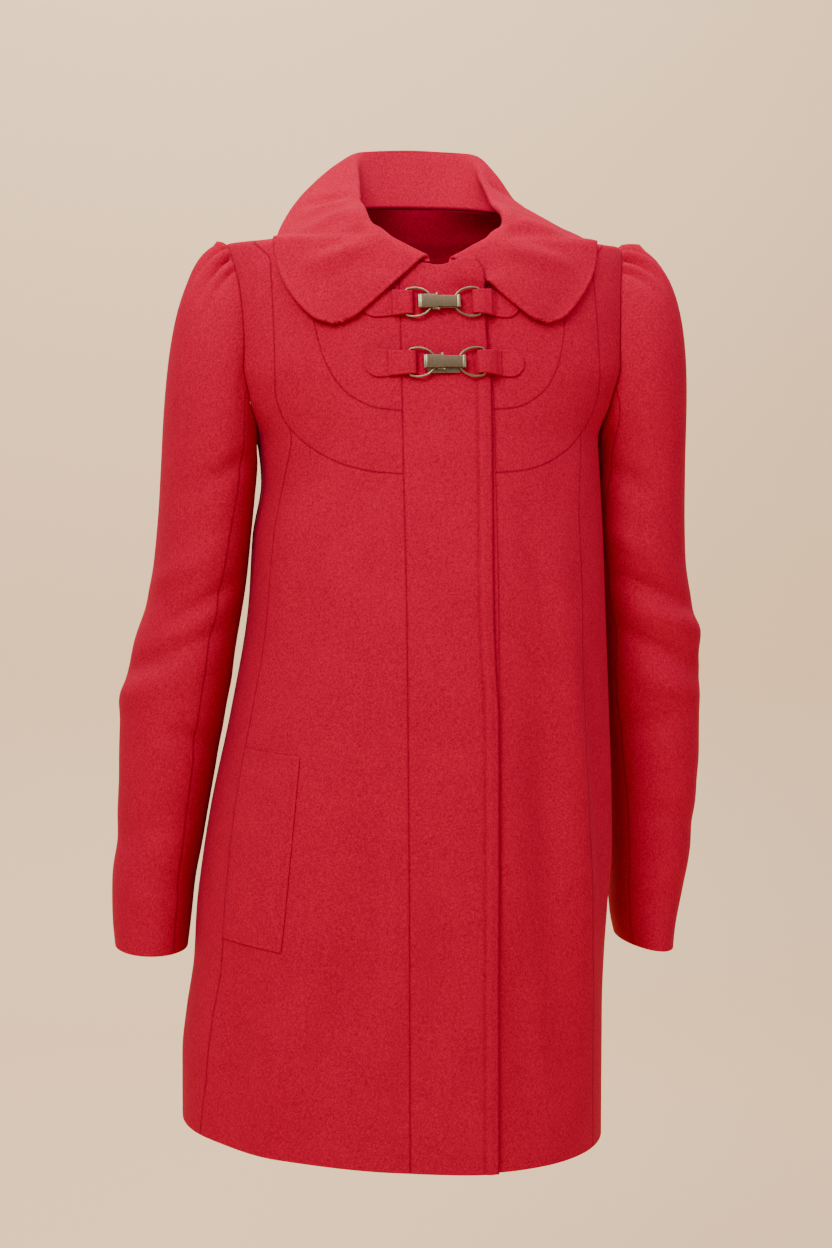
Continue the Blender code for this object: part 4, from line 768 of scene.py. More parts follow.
def up_the_front(across, height):
    """The direction up the cloth at a point of the front."""
    return unit(on_front(across, height + MM, 0.0) - on_front(across, height - MM, 0.0))


def clasp_level(middle, shift):
    """Level of the clasp's middle, whose left end clears the placket."""
    return surface_level(middle + shift + CLASP_LENGTH / 2) + CLASP_ROOM + CLASP_THICKNESS / 2


def neckline(angle):
    """Points of the sewn neckline at these angles, with the direction on past it and outwards."""
    first, second = OPENING_COLUMNS

    def corner(across, turn):
        return neck_curve(neck_angle(across), neck_angle(across) + 1e-6)[:1] + [0, 0, 0, turn]

    def points_at(angles):
        return np.stack([np.interp(-angles, -sewn[:, 3], sewn[:, k]) for k in range(3)], axis=1)

    sewn = np.concatenate([
        corner(second, 0), corner(first, 0),
        neck_curve(neck_angle(PLACKET_SEAM), -90),
        neck_curve(-90, -270)[1:],
        neck_curve(-270, neck_angle(LEFT_FRONT_SEAM) - 360)[1:],
        corner(second, -360), corner(first, -360),
    ])
    points = points_at(angle)
    away = outward(points)
    past = np.cross(points_at(angle - 0.5) - points_at(angle + 0.5), away)
    return points, unit(past), away


# ---- sheets of points

def spread(length, step, keys=()):
    """Shares along a side: a step apart, closer near both ends, with the key shares among them."""
    near = NEAR_BORDER / length
    count = max(2, int(round(length * (1 - 2 * near[-1]) / step)))
    middle = np.linspace(near[-1], 1 - near[-1], count + 1)
    shares = np.concatenate([near, middle, 1 - near])
    for key in keys:
        shares = shares[np.abs(shares - key) > KEY_ROOM * step / length]
    return np.unique(np.concatenate([shares, keys, [0, 1]]))


def patch(top, bottom, left, right, across=None, down=None, right_down=None):
    """A sheet of points between four seams: the mean of the sides and the ends less the corners,
    then settled on the body's form."""
    if across is None:
        across = spread(max(length_of(top), length_of(bottom)), STEP)
    if down is None:
        down = spread(max(length_of(left), length_of(right)), STEP)
    right_down = down if right_down is None else right_down
    top, bottom = along(top, across)[None], along(bottom, across)[None]
    left, right = along(left, down)[:, None], along(right, right_down)[:, None]
    across, down = across[None, :, None], down[:, None, None]
    sides = (1 - across) * left + across * right
    ends = (1 - down) * top + down * bottom
    corners = (
        (1 - across) * (1 - down) * top[:, :1] + across * (1 - down) * top[:, -1:]
        + (1 - across) * down * bottom[:, :1] + across * down * bottom[:, -1:]
    )
    return settle(sides + ends - corners)


def border_shift(grid, border, inner, distance):
    """The inward move of one border row, square to it."""
    way = unit(np.gradient(grid[border], axis=0))
    inwards = grid[inner] - grid[border]
    return distance * unit(inwards - (inwards * way).sum(1, keepdims=True) * way)


def draw_in(points, distance):
    """Pulls a grid's four borders inwards, which leaves the gap at its seams. A corner moves by
    both borders' moves, divided by one and the cosine between them."""
    moved = points.copy()
    turned = points.transpose(1, 0, 2)
    ends, sides = (
        {border: border_shift(grid, border, inner, distance) for border, inner in ((0, 1), (-1, -2))}
        for grid in (points, turned)
    )
    for border in (0, -1):
        moved[border] += ends[border]
        moved[:, border] += sides[border]
    for row in (0, -1):
        for column in (0, -1):
            first, second = ends[row][column], sides[column][row]
            closeness = 1 + (first * second).sum() / distance**2
            moved[row, column] = points[row, column] + (first + second) / max(closeness, CORNER_LEAST)
    return moved


def grid_directions(grid, axis):
    """Unit directions along one axis of a grid."""
    return unit(np.gradient(grid, axis=axis))


def grid_normals(points):
    """Unit normals of a grid: the cross product of its rows' and columns' directions."""
    return unit(np.cross(np.gradient(points, axis=1), np.gradient(points, axis=0)))


def normals_beside(grid, away):
    """The grid's own normals, on the side that the given directions point to."""
    normals = grid_normals(grid)
    return normals * np.sign((normals * away).sum(-1, keepdims=True) + 1e-9)


def border_distances(grid):
    """Distances from the top, bottom, left and right sides, added up along columns and rows."""
    down = np.linalg.norm(np.diff(grid, axis=0), axis=-1)
    across = np.linalg.norm(np.diff(grid, axis=1), axis=-1)
    down = np.concatenate([np.zeros((1, grid.shape[1])), np.cumsum(down, axis=0)])
    across = np.concatenate([np.zeros((grid.shape[0], 1)), np.cumsum(across, axis=1)], axis=1)
    return down, down[-1:] - down, across, across[:, -1:] - across


def folded(points):
    """How far the cloth stands out in its soft folds: each is a bell curve across its line, with
    its height faded along the line to both ends."""
    out = np.zeros(points.shape[:-1])
    for start_x, start_z, end_x, end_z, half_width, height, face in FOLDS:
        line = np.array([end_x - start_x, end_z - start_z])
        reach = np.hypot(*line)
        from_start = points[..., [0, 2]] - np.array([start_x, start_z])
        share = (from_start @ line) / reach**2
        off = (from_start[..., 0] * line[1] - from_start[..., 1] * line[0]) / reach
        taper = np.sin(np.pi * np.clip(share, 0, 1)) ** FOLD_FADE
        facing = smooth(0.5 + face * (points[..., 1] - CENTRE_DEPTH) / FOLD_SIDE_BLEND)
        out += height * bell(off / half_width) * taper * facing
    return out * settings().fold_strength


# ---- meshes

def link(name, data):
    """A new object of this data in the scene."""
    made = bpy.data.objects.new(name, data)
    bpy.context.scene.collection.objects.link(made)
    return made


def make_object(name, points, quads, finish, seam=None, triangles=None):
    """A smooth mesh object at the origin from an array of points and arrays of faces."""
    mesh = bpy.data.meshes.new(name)
    corners = quads.reshape(-1)
    starts = np.arange(len(quads)) * 4
    totals = np.full(len(quads), 4)
    if triangles is not None:
        starts = np.concatenate([starts, len(corners) + np.arange(len(triangles)) * 3])
        totals = np.concatenate([totals, np.full(len(triangles), 3)])
        corners = np.concatenate([corners, triangles.reshape(-1)])
    mesh.vertices.add(len(points))
    mesh.vertices.foreach_set("co", np.ascontiguousarray(points, np.float32).ravel())
    mesh.loops.add(len(corners))
    mesh.loops.foreach_set("vertex_index", corners.astype(np.int32))
    mesh.polygons.add(len(starts))
    mesh.polygons.foreach_set("loop_start", starts.astype(np.int32))
    mesh.polygons.foreach_set("loop_total", totals.astype(np.int32))
    mesh.update(calc_edges=True)
    # the seam mask is painted shade in seams, stitched lines and the placket's lines
    if seam is not None:
        attribute = mesh.attributes.new("painted_seam_shade", "FLOAT", "POINT")
        attribute.data.foreach_set("value", seam.astype(np.float32).ravel())
    mesh.shade_smooth()
    mesh.materials.append(material(finish))
    piece = link(name, mesh)
    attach(piece, "root")
    return piece


def wall_faces(rows, columns, flip):
    """Faces of a closed wall whose outer points come first and inner points after them."""
    outer = np.arange(rows * columns).reshape(rows, columns)
    inner = outer + rows * columns

    def quads(*corners):
        return np.stack([corner.ravel() for corner in corners], axis=1)

    faces = np.concatenate([
        quads(outer[:-1, :-1], outer[1:, :-1], outer[1:, 1:], outer[:-1, 1:]),
        quads(inner[:-1, :-1], inner[:-1, 1:], inner[1:, 1:], inner[1:, :-1]),
        quads(outer[1:, 0], outer[:-1, 0], inner[:-1, 0], inner[1:, 0]),
        quads(outer[:-1, -1], outer[1:, -1], inner[1:, -1], inner[:-1, -1]),
        quads(outer[-1, 1:], outer[-1, :-1], inner[-1, :-1], inner[-1, 1:]),
        quads(outer[0, :-1], outer[0, 1:], inner[0, 1:], inner[0, :-1]),
    ])
    return faces[:, ::-1] if flip else faces


def cloth_shell(node, middle, normals, thickness, edges, stitch=None, outer_depth=None, marks=None):
    """The closed wall of a cloth piece round its middle sheet. Its half thickness is less at a seam
    by a bell curve of the distance, and it falls in a quarter circle to the nearest free edge. A
    stitched line is pressed in at one distance from the free edges. The edges are the top, bottom,
    left and right one. Painted shade darkens the colour in the seams, in the stitched line and
    along the given lines of painted shade."""
    thickness = thickness * settings().cloth_share
    kinds = list(zip(edges.split(), border_distances(middle)))
    share = np.ones(middle.shape[:2])
    seam = np.zeros(middle.shape[:2])
    line = np.zeros(middle.shape[:2])
    for kind, distance in kinds:
        if kind == "seam":
            share = share * (1 - SEAM_PINCH * bell(distance / SEAM_PINCH_WIDTH))
            # painted shade in the seam: a bell curve of the distance from it
            seam = np.maximum(seam, bell(distance / PAINTED_SEAM_SHADE_WIDTH))
    free = [distance for kind, distance in kinds if kind == "free"]
    to_edge = np.min(free, axis=0) if free else np.ones(middle.shape[:2])
    inside = np.clip(1 - to_edge / (thickness / 2), 0, 1)
    share = share * np.sqrt(np.maximum(1 - inside**2, EDGE_LEAST))
    if stitch is not None:
        line = bell((to_edge - stitch) / STITCH_WIDTH)
    outer_half = thickness / 2 if outer_depth is None else outer_depth * settings().cloth_share
    outer = middle + normals * (outer_half * share - STITCH_DEPTH * line)[..., None]
    inner = middle - normals * (thickness / 2 * share)[..., None]
    row, next_row = middle[1], middle[2]
    crossed = np.cross(row[1:] - row[:-1], normals[1, 1:])
    flip = (crossed * (next_row[1:] - row[1:])).sum() < 0
    points = np.concatenate([outer.reshape(-1, 3), inner.reshape(-1, 3)])
    # painted shade in the stitched line and along the given lines of painted shade
    seam = np.maximum(seam, STITCH_PAINTED_SHADE * line)
    if marks is not None:
        seam = np.maximum(seam, marks)
    faces = wall_faces(*middle.shape[:2], flip)
    piece = make_object(f"{node}_cloth", points, faces, "scarlet_wool", np.concatenate([seam, seam]))
    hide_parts(node)


def lay(node, base, level, thickness, edges, **more):
    """A cloth piece at a level above its sheet of points on the body form."""
    away = outward(base)
    raised = base + away * level[..., None]
    cloth_shell(node, raised, normals_beside(raised, away), thickness, edges, **more)


# ---- body

def front_seams(side):
    """The seams that bound the pieces of one front half."""
    centre = LEFT_FRONT_SEAM if side > 0 else PLACKET_SEAM
    inner = yoke_seam(side, INNER_YOKE, INNER_YOKE_SHOULDER)
    outer = yoke_seam(side, OUTER_YOKE, OUTER_YOKE_SHOULDER)
    neck = neck_curve(neck_angle(centre), side * 90)[:, :3]
    hem_start = front_point(centre, hem_height(centre))
    corner = int(round(PRINCESS_SHARE * (len(outer) - 1)))
    princess, side_edge = princess_seam(side, outer[corner]), side_seam(side)
    return {
        "neck": neck,
        "inner": inner,
        "outer_front": outer[:corner + 1],
        "outer_side": outer[corner:],
        "outer": outer,
        "centre_inner": straight_edge(centre, neck[0, 2], inner[0, 2]),
        "centre_outer": straight_edge(centre, inner[0, 2], outer[0, 2]),
        "centre_front": straight_edge(centre, outer[0, 2], hem_start[2]),
        "shoulder_inner": shoulder_seam(side, 0, INNER_YOKE_SHOULDER),
        "shoulder_outer": shoulder_seam(side, INNER_YOKE_SHOULDER, OUTER_YOKE_SHOULDER),
        "shoulder_side": shoulder_seam(side, OUTER_YOKE_SHOULDER, SHOULDER_END),
        "princess": princess,
        "armhole": armhole(side, True),
        "side": side_edge,
        "front_hem": hem_curve(hem_start, princess[-1]),
        "side_hem": hem_curve(princess[-1], side_edge[-1]),
    }


def front_grids(side):
    """The sheets of points of one front half, by piece. The side front's rows slope up from the
    princess seam to the underarm."""
    seams = front_seams(side)
    left = chain(seams["outer_side"][::-1], seams["princess"])
    right = chain(seams["armhole"], seams["side"])
    corner = length_of(seams["outer_side"]) / length_of(left)
    underarm = length_of(seams["armhole"]) / length_of(right)
    level = corner + UNDERARM_DROP / length_of(left)
    down = spread(length_of(left), STEP, (corner, level))

    def between(*names):
        return patch(*(seams[name] for name in names))

    return {
        "inner_yoke": between("neck", "inner", "centre_inner", "shoulder_inner"),
        "outer_yoke": between("inner", "outer", "centre_outer", "shoulder_outer"),
        "front": between("outer_front", "front_hem", "centre_front", "princess"),
        "side_front": patch(seams["shoulder_side"], seams["side_hem"], left, right, down=down,
                            right_down=np.interp(down, [0, level, 1], [0, underarm, 1])),
    }


def make_front(side, label):
    """The two yokes, the front and the side front of one half, the left ones under the placket."""
    for piece, grid in front_grids(side).items():
        grid = draw_in(grid, SEAM_GAP / 2)
        level = folded(grid) + (underlap_level(grid) if side > 0 else 0)
        edges = "seam seam seam seam" if "yoke" in piece else "seam free seam seam"
        lay(f"{label}_{piece}", grid, level, CLOTH, edges)


def make_back():
    """The back in one sheet between its two shoulder seams and its two side seams."""
    edges = {side: chain(armhole(side, False), side_seam(side)) for side in (-1, 1)}
    shoulders = {side: shoulder_seam(side, 0, SHOULDER_END) for side in (-1, 1)}
    neck = neck_curve(-90, -270)[:, :3]
    top = chain(shoulders[-1][::-1], neck, shoulders[1])
    bottom = hem_curve(edges[-1][-1], edges[1][-1], back=True)
    length = length_of(top)
    side_share = length_of(shoulders[1]) / length
    underarm = length_of(armhole(1, False)) / length_of(edges[1])
    grid = patch(top, bottom, edges[-1], edges[1],
                 across=spread(max(length, length_of(bottom)), STEP, (side_share, 1 - side_share)),
                 down=spread(length_of(edges[1]), STEP, (underarm,)))
    grid = draw_in(grid, SEAM_GAP / 2)
    lay("back", grid, folded(grid), CLOTH, "seam free seam seam")


# ---- front opening

def opening_strip(start, end, top, size, step):
    """A strip's sheet of points on the body's form, from its top line down to the hem. Heights and
    places across depend on each other, so they are worked out in turn."""
    rows, columns = spread(size[0], STEP), spread(size[1], step)
    share = rows[:, None] * np.ones((1, len(columns)))
    height = hem_height(0.0) * share + top(0.0) * (1 - share)
    for _ in range(3):
        across = start(height) * (1 - columns) + end(height) * columns
        height = top(across) + (hem_height(across) - top(across)) * share
    return front_point(across, height)


def edge_of(column):
    """The line of the opening's free edge in this column of its table."""
    return lambda height: through_rows(OPENING_EDGE, height)[..., column]


def fixed(value):
    """A line that stays at one value."""
    return lambda place: value + 0 * place


def make_opening():
    """The placket with its turned edges, the fly layer under it and the left front's underlap. A
    ridge and a groove, both bell curves of the distance from the edge, run down the placket."""
    placket = opening_strip(fixed(PLACKET_SEAM), edge_of(0), placket_top, PLACKET_SIZE, OPENING_STEP)
    placket = draw_in(placket, SEAM_GAP / 2)
    down, _, _, from_edge = border_distances(placket)
    below_top = rise(down, *PLACKET_TURN_DOWN)
    turned = (ridge(from_edge, *PLACKET_RIDGE) - ridge(from_edge, *PLACKET_GROOVE)) * below_top
    top_band = ridge(down, *TOP_BAND) * rise(placket[..., 0], *TOP_BAND_ACROSS)
    level = placket_level(placket) + folded(placket) + turned - top_band
    # painted shade along the placket's free edge and in its groove
    marks = np.maximum(ridge(from_edge, *EDGE_PAINTED_SHADE), ridge(from_edge, *GROOVE_PAINTED_SHADE) * below_top)
    lay("placket", placket, level, CLOTH, "free free seam free", marks=marks)

    fly = opening_strip(fixed(OPENING_COLUMNS[1]), edge_of(1), fixed(FLY_TOP), FLY_SIZE, FLY_STEP)
    level = placket_level(fly) - PLACKET_RISE / 2 + folded(fly)
    lay("fly_layer", fly, level, FLY_CLOTH, "free free free free")

    lap = opening_strip(fixed(UNDERLAP_EDGE), fixed(LEFT_FRONT_SEAM), neck_height, LAP_SIZE, LAP_STEP)
    lap = draw_in(lap, SEAM_GAP / 2)
    level = underlap_level(lap) + folded(lap)
    lay("left_underlap", lap, level, CLOTH, "seam free free seam")


def make_pocket():
    """The welt lies on the right front along the princess seam, with one line of stitching."""
    princess = princess_seam(-1, front_seams(-1)["outer_side"][0])
    rows = spread(WELT_TOP - WELT_BOTTOM, WELT_STEP)
    columns = spread(WELT_WIDTH, WELT_STEP)
    height = WELT_TOP + (WELT_BOTTOM - WELT_TOP) * rows
    at_seam = np.interp(-height, -princess[:, 2], princess[:, 0]) + WELT_SEAM_ROOM
    front = -WELT_FRONT_TOP + (WELT_FRONT_TOP - WELT_FRONT_BOTTOM) * rows
    drop = WELT_DROP_TOP + (WELT_DROP_BOTTOM - WELT_DROP_TOP) * rows
    share = 1 - (1 - columns) ** WELT_CURVE
    across = front[:, None] + (at_seam - front)[:, None] * share[None, :]
    height = (height + drop)[:, None] - drop[:, None] * share[None, :]
    base = front_point(across, height)
    level = CLOTH / 2 + GAP / 2 + WELT_CLOTH / 2 + folded(base)
    lay("right_pocket_welt", base, level, WELT_CLOTH, "free free free seam", stitch=WELT_STITCH)


# ---- collar

def collar_sheet():
    """Collar points, and each row's share of the roll and of the leaf and each column's sections
    from the nearer end. Each section goes straight up its stand, over the roll in a curve of the
    second degree and straight down the leaf, which bows out in half a sine wave."""
    index = np.arange(len(COLLAR))[:, None]
    last = len(COLLAR) - 1
    middle = np.linspace(COLLAR_REST, last - COLLAR_REST, COLLAR_COLUMNS_A_SECTION * last)
    at = np.concatenate([COLLAR_NEAR, middle, last - COLLAR_NEAR[::-1]])
    rows = through_rows(np.hstack([index, COLLAR]), at)
    angle, roll, edge, crown = rows[:, 0], rows[:, 1:4], rows[:, 4:7], rows[:, 7]
    neck, past, away = neckline(angle)
    under_placket = (angle < UNDER_PLACKET) * underlap_level(neck)
    over_seam = (angle > OVER_SEAM) * PLACKET_RISE * rise_share(neck[:, 0])
    neck = neck + away * (under_placket + over_seam)[:, None]
    lean = np.abs((unit(roll - neck) * away).sum(1))
    seam = neck + past * (COLLAR_CLOTH / 2 * lean - STAND_SINK)[:, None]
    stand_length = np.linalg.norm(roll - seam, axis=1, keepdims=True)
    leaf_length = np.linalg.norm(edge - roll, axis=1, keepdims=True)
    from_end = np.minimum(at, last - at)
    reach = LEAF_REACH * fall(from_end, *LEAF_REACH_END)
    edge = edge + (edge - roll) / leaf_length * reach[:, None]
    before = roll + (seam - roll) * np.minimum(ROLL_MOST[0], COLLAR_ROLL / stand_length)
    after = roll + (edge - roll) * np.minimum(ROLL_MOST[1], COLLAR_ROLL / leaf_length)
    lines = [seam + (before - seam) * part for part in STAND_SHARES]
    lines += [(1 - part) ** 2 * before + 2 * part * (1 - part) * roll + part**2 * after
              for part in ROLL_SHARES]
    lines += [after + (edge - after) * part for part in LEAF_SHARES]
    grid = np.stack(lines)
    leaf = np.concatenate([np.zeros(len(STAND_SHARES) + len(ROLL_SHARES)), LEAF_SHARES])
    rolled = np.concatenate([np.zeros(len(STAND_SHARES)), ROLL_SHARES, np.ones(len(LEAF_SHARES))])
    at_tip = bell(from_end / TIP_BOW_WIDTH)[None, :]
    grid[..., 2] -= TIP_BOW * at_tip * np.sin(np.pi * leaf**TIP_BOW_POWER)[:, None]
    bow = crown[None, :] * np.sin(np.pi * leaf)[:, None]
    return grid + outward(grid) * bow[..., None], rolled, leaf, from_end


def collar_clearance(grid, rolled):
    """The least distance of the leaf from the body form: more where it passes over a tab."""
    across, height = grid[..., 0], grid[..., 2]
    over_tab = rise(np.abs(across), *TAB_IN) * fall(np.abs(across), *TAB_OUT) * fall(height, *TAB_DOWN)
    edge_rise = (surface_level(across) - CLOTH / 2) * (across > 0)
    climb = PLACKET_RISE * rise_share(across) * (across < 0)
    tucked = COLLAR_OFF * fall(across, *COLLAR_OFF_END) * (across > 0)
    base = CLOTH / 2 + GAP + COLLAR_CLOTH / 2 + COLLAR_OFF - tucked * (1 - over_tab)
    return (base + (TAB_CLOTH + edge_rise) * over_tab + climb) * rolled[:, None]


def pressed_depth(grid, rolled):
    """The wall's depth on the side where stand and leaf face each other, pressed near the roll: no
    more than a share of the distance to the nearest line of the other arm."""
    turn = int(np.argmax(rolled >= 0.5))
    nearest = np.ones(grid.shape[:2])
    for arm, facing in ((slice(0, turn), grid[turn:]), (slice(turn, None), grid[:turn])):
        for start, end in zip(facing[:-1], facing[1:]):
            line = end - start
            part = ((grid[arm] - start) * line).sum(-1) / (line**2).sum(-1)
            apart = grid[arm] - start - np.clip(part, 0, 1)[..., None] * line
            nearest[arm] = np.minimum(nearest[arm], np.linalg.norm(apart, axis=-1))
    return np.minimum(COLLAR_CLOTH / 2, PRESSED * nearest)


def creased(grid, leaf):
    """Soft creases of the leaf: bell curves across lines between two points, faded to both ends."""
    out = np.zeros(grid.shape[:2])
    before, inside = CREASE_ENDS
    for row in COLLAR_FOLDS:
        start, line, half_width, height = row[:3], row[3:6] - row[:3], row[6], row[7]
        share = ((grid - start) @ line) / (line @ line)
        off = np.linalg.norm(grid - start - np.clip(share, 0, 1)[..., None] * line, axis=-1)
        taper = np.sin(np.pi * np.clip(before + inside * share, 0, 1)) ** CREASE_FADE
        out += height * bell(off / half_width) * taper
    return out * smooth(leaf / CREASE_START)[:, None] * settings().fold_strength


def eased(grid, times):
    """A sheet smoothed inside its borders: each point moves half way to its neighbours' mean."""
    for _ in range(times):
        mean = (grid[:-2, 1:-1] + grid[2:, 1:-1] + grid[1:-1, :-2] + grid[1:-1, 2:]) / 4
        inner = grid[1:-1, 1:-1] + 0.5 * (mean - grid[1:-1, 1:-1])
        grid = grid.copy()
        grid[2:-2, 2:-2] = inner[1:-1, 1:-1]
    return grid


def smooth_edge(grid, leaf, from_end):
    """The leaf's corners softened: each point moves towards the mean of its two neighbours along
    its row, more so near the free edge. The close columns at both ends stay, and so does the back."""
    inner = from_end[1:-1]
    front = rise(inner, CORNER_START, CORNER_SPAN) * fall(inner, CORNER_END, 1)
    share = 0.5 * leaf[:, None, None] * front[None, :, None]
    for _ in range(CORNER_ROUNDS):
        mean = (grid[:, 2:] + grid[:, :-2]) / 2
        grid = grid.copy()
        grid[:, 1:-1] += share * (mean - grid[:, 1:-1])
    return grid


def rounded_corners(grid, leaf):
    """The two tips rounded: a square at each corner is carried onto a quarter disc, where each
    share from the corner's inner side shrinks by the root of one less half the other's square."""
    _, up, left, right = border_distances(grid)
    way = grid_directions(grid, 1)
    upward = -grid_directions(grid, 0)
    on_leaf = (leaf > LEAF_START)[:, None, None]
    moved = grid.copy()
    for distance, inwards in ((left, way), (right, -way)):
        a = np.clip(1 - distance / TIP_RADIUS, 0, 1)[..., None]
        b = np.clip(1 - up / TIP_RADIUS, 0, 1)[..., None]
        moved += (a - a * np.sqrt(1 - b**2 / 2)) * TIP_RADIUS * inwards * on_leaf
        moved += (b - b * np.sqrt(1 - a**2 / 2)) * TIP_RADIUS * upward
    return moved


def make_collar():
    """The collar's sheet kept clear of the coat, softened, rounded at its tips and creased, with a
    turned edge that is a bell curve of the distance from the leaf's free edges."""
    grid, rolled, leaf, from_end = collar_sheet()
    grid = keep_off(grid, collar_clearance(grid, rolled))
    grid = rounded_corners(smooth_edge(eased(grid, 2), leaf, from_end), leaf)
    normals = -grid_normals(grid)
    depth = pressed_depth(grid, rolled)
    _, up, left, right = border_distances(grid)
    edge = np.minimum(up, np.minimum(left, right) + 10 * (leaf < LEAF_START)[:, None])
    turned = ridge(edge, *EDGE_ROLL) * (leaf > EDGE_ROLL_START)[:, None]
    grid = grid - normals * (creased(grid, leaf) - turned)[..., None]
    grid = keep_off(grid, (CLOTH / 2 + GAP + COLLAR_CLOTH / 2) * rolled[:, None])
    cloth_shell("collar", grid, normals, COLLAR_CLOTH, "seam free free free", outer_depth=depth)


# ---- sleeves

def sleeve_shares():
    """Shares of the armhole half for the sleeve's columns, closer beside its seams."""
    near = NEAR_BORDER / ARMHOLE_LENGTH
    seam = FRONT_SEAM_ANGLE / 180
    base = np.linspace(0, 1, SLEEVE_COLUMN_COUNT)
    base = base[np.abs(base - seam) > near[-1] + SLEEVE_SEAM_ROOM]
    return np.unique(np.concatenate([base, seam - near, seam + near]))


def armhole_ring(side):
    """The closed armhole from the shoulder point over the front, each column's angle round it, and
    its distance from the shoulder point, negative at the back."""
    shares = sleeve_shares()
    back_shares = shares[::-1][1:-1]
    front = along(armhole(side, True), shares)
    back = along(armhole(side, False), shares)
    ring = np.concatenate([front, back[::-1][1:-1]])
    angle = np.concatenate([180 * shares, 360 - 180 * back_shares])
    length = length_of(armhole(side, True))
    return ring, angle, np.concatenate([shares * length, -back_shares * length])


def sleeve_section(side, rows, height, angle, tilt):
    """A ring of the sleeve at one height: an ellipse round the arm's line, tilted across it."""
    centre_x, centre_y, half_width, half_depth, turn = np.moveaxis(through_rows(rows, height), -1, 0)
    turned = np.radians(angle + turn)
    out = half_width * np.cos(turned)
    x = side * (centre_x + out)
    y = centre_y - half_depth * np.sin(turned)
    return np.stack([x, y, height + tilt * out], axis=-1)


def leaving(side, label, angle):
    """The direction in which the sleeve leaves the armhole at each angle: down under the arm, and
    near level or rising at the shoulder."""
    cosine, sine = np.cos(np.radians(angle)), np.sin(np.radians(angle))
    down = HEAD_DOWN[0] - HEAD_DOWN[1] * cosine
    down = np.where(cosine > 0, down * (1 - cosine) - CAP_RISE[label] * cosine, down)
    out = HEAD_OUT[0] + HEAD_OUT[1] * cosine
    return unit(np.stack([side * out, -HEAD_DEEP * sine, -down], axis=1))


def sleeve_head(side, label, rows, ring, angle):
    """The sleeve's rows from the armhole to the arm's top section, each column a cubic that leaves
    the armhole's edge and arrives along the arm, with the first row's own three directions. The
    start and the direction there depend on each other, so they are worked out in turn."""
    closed = np.vstack([ring[-1:], ring, ring[:1]])
    tangent = unit(closed[2:] - closed[:-2])
    away = outward(ring)
    into_hole = np.cross(away, tangent) * side
    leave = leaving(side, label, angle)
    top = rows[-1, 0]
    end = sleeve_section(side, rows, np.full(angle.shape, top), angle, 0)
    below = sleeve_section(side, rows, np.full(angle.shape, top - HEAD_PROBE), angle, 0)
    chord = np.linalg.norm(end - ring, axis=1, keepdims=True)
    arrive = (below - end) / HEAD_PROBE * chord
    direction = leave
    for _ in range(HEAD_ROUNDS):
        cosine = (direction * into_hole).sum(1)[:, None]
        sine = (direction * away).sum(1)[:, None]
        side_of_edge = np.where((sine < 0) & (cosine > 0), -1, 1)
        steep = np.abs(sine)
        clear = SLEEVE_CLEAR * SEAM_GAP
        inwards = CLOTH / 2 * steep - SLEEVE_SINK + clear * np.maximum(cosine, 0)
        level = CLOTH / 2 * (1 - cosine) + clear * np.where(cosine < 0, 1, steep)
        start = ring + into_hole * inwards + away * side_of_edge * level
        head = hermite(HEAD_SHARES[:, None, None], start, leave * chord * CAP_FULLNESS[label],
                       end, arrive)
        direction = head[1] - head[0]
        direction = unit(direction - (direction * tangent).sum(1, keepdims=True) * tangent)
    return head, direction, tangent, cosine[:, 0]


def sleeve_sheet(side, label):
    """The points and outward directions of one sleeve, down from the armhole and round it. It is
    kept off the body by more the further it is from the armhole, up to the arm's own room."""
    rows = RIGHT_SLEEVE if side < 0 else LEFT_SLEEVE
    ring, angle, travelled = armhole_ring(side)
    head, direction, tangent, cosine = sleeve_head(side, label, rows, ring, angle)
    top = rows[-1, 0]
    length = top - rows[0, 0]
    share = spread(length, STEP)
    share = share[share > FIRST_ROW * STEP / length]
    height = (top - length * share)[:, None] * np.ones((1, len(angle)))
    lower = np.clip((top - height) / length, 0, 1)
    tilt = CUFF_TILT[label] * lower**CUFF_POWER
    grid = np.concatenate([head, sleeve_section(side, rows, height, angle[None, :], tilt)])
    travel = border_distances(grid)[0]
    folded_back = np.clip(-UNDERARM_FOLD * cosine, 0, 1)
    hollow = ridge(grid[..., 2], UNDERARM_ROOM, *UNDERARM_HOLLOW)
    room = folded_back * (np.minimum(CLOTH + GAP + UNDERARM_SLOPE * travel, ARM_ROOM) + hollow)
    room = np.maximum(room, np.minimum(ARM_SLOPE * travel, ARM_ROOM))
    on_arm = np.arange(len(grid))[:, None] >= len(HEAD_SHARES) - 1
    beside = np.where(on_arm, ARM_ROOM + hollow, room)
    grid = keep_off(grid, np.where(beside > 0, beside, -1.0))
    grid = round_eased(grid, ARM_SMOOTHING)
    normals = ring_normals(grid, side)
    rim = np.cross(direction, tangent)
    normals[0] = unit(rim * np.sign((rim * normals[0]).sum(1, keepdims=True)))
    tucks = tuck_depth(label, travel, travelled)
    grid = grid - normals * tucks[..., None]
    crease = sleeve_creases(label, grid, angle)
    grid = grid + normals * (crease * smooth(travel / ARM_CREASE_START))[..., None]
    inward = np.maximum(tucks, 0) + np.maximum(-crease, 0)
    grid = keep_off(grid, np.where(beside > 0, beside - inward * (tucks > 0), -1.0))
    return grid, np.concatenate([normals[:1], ring_normals(grid, side)[1:]]), angle


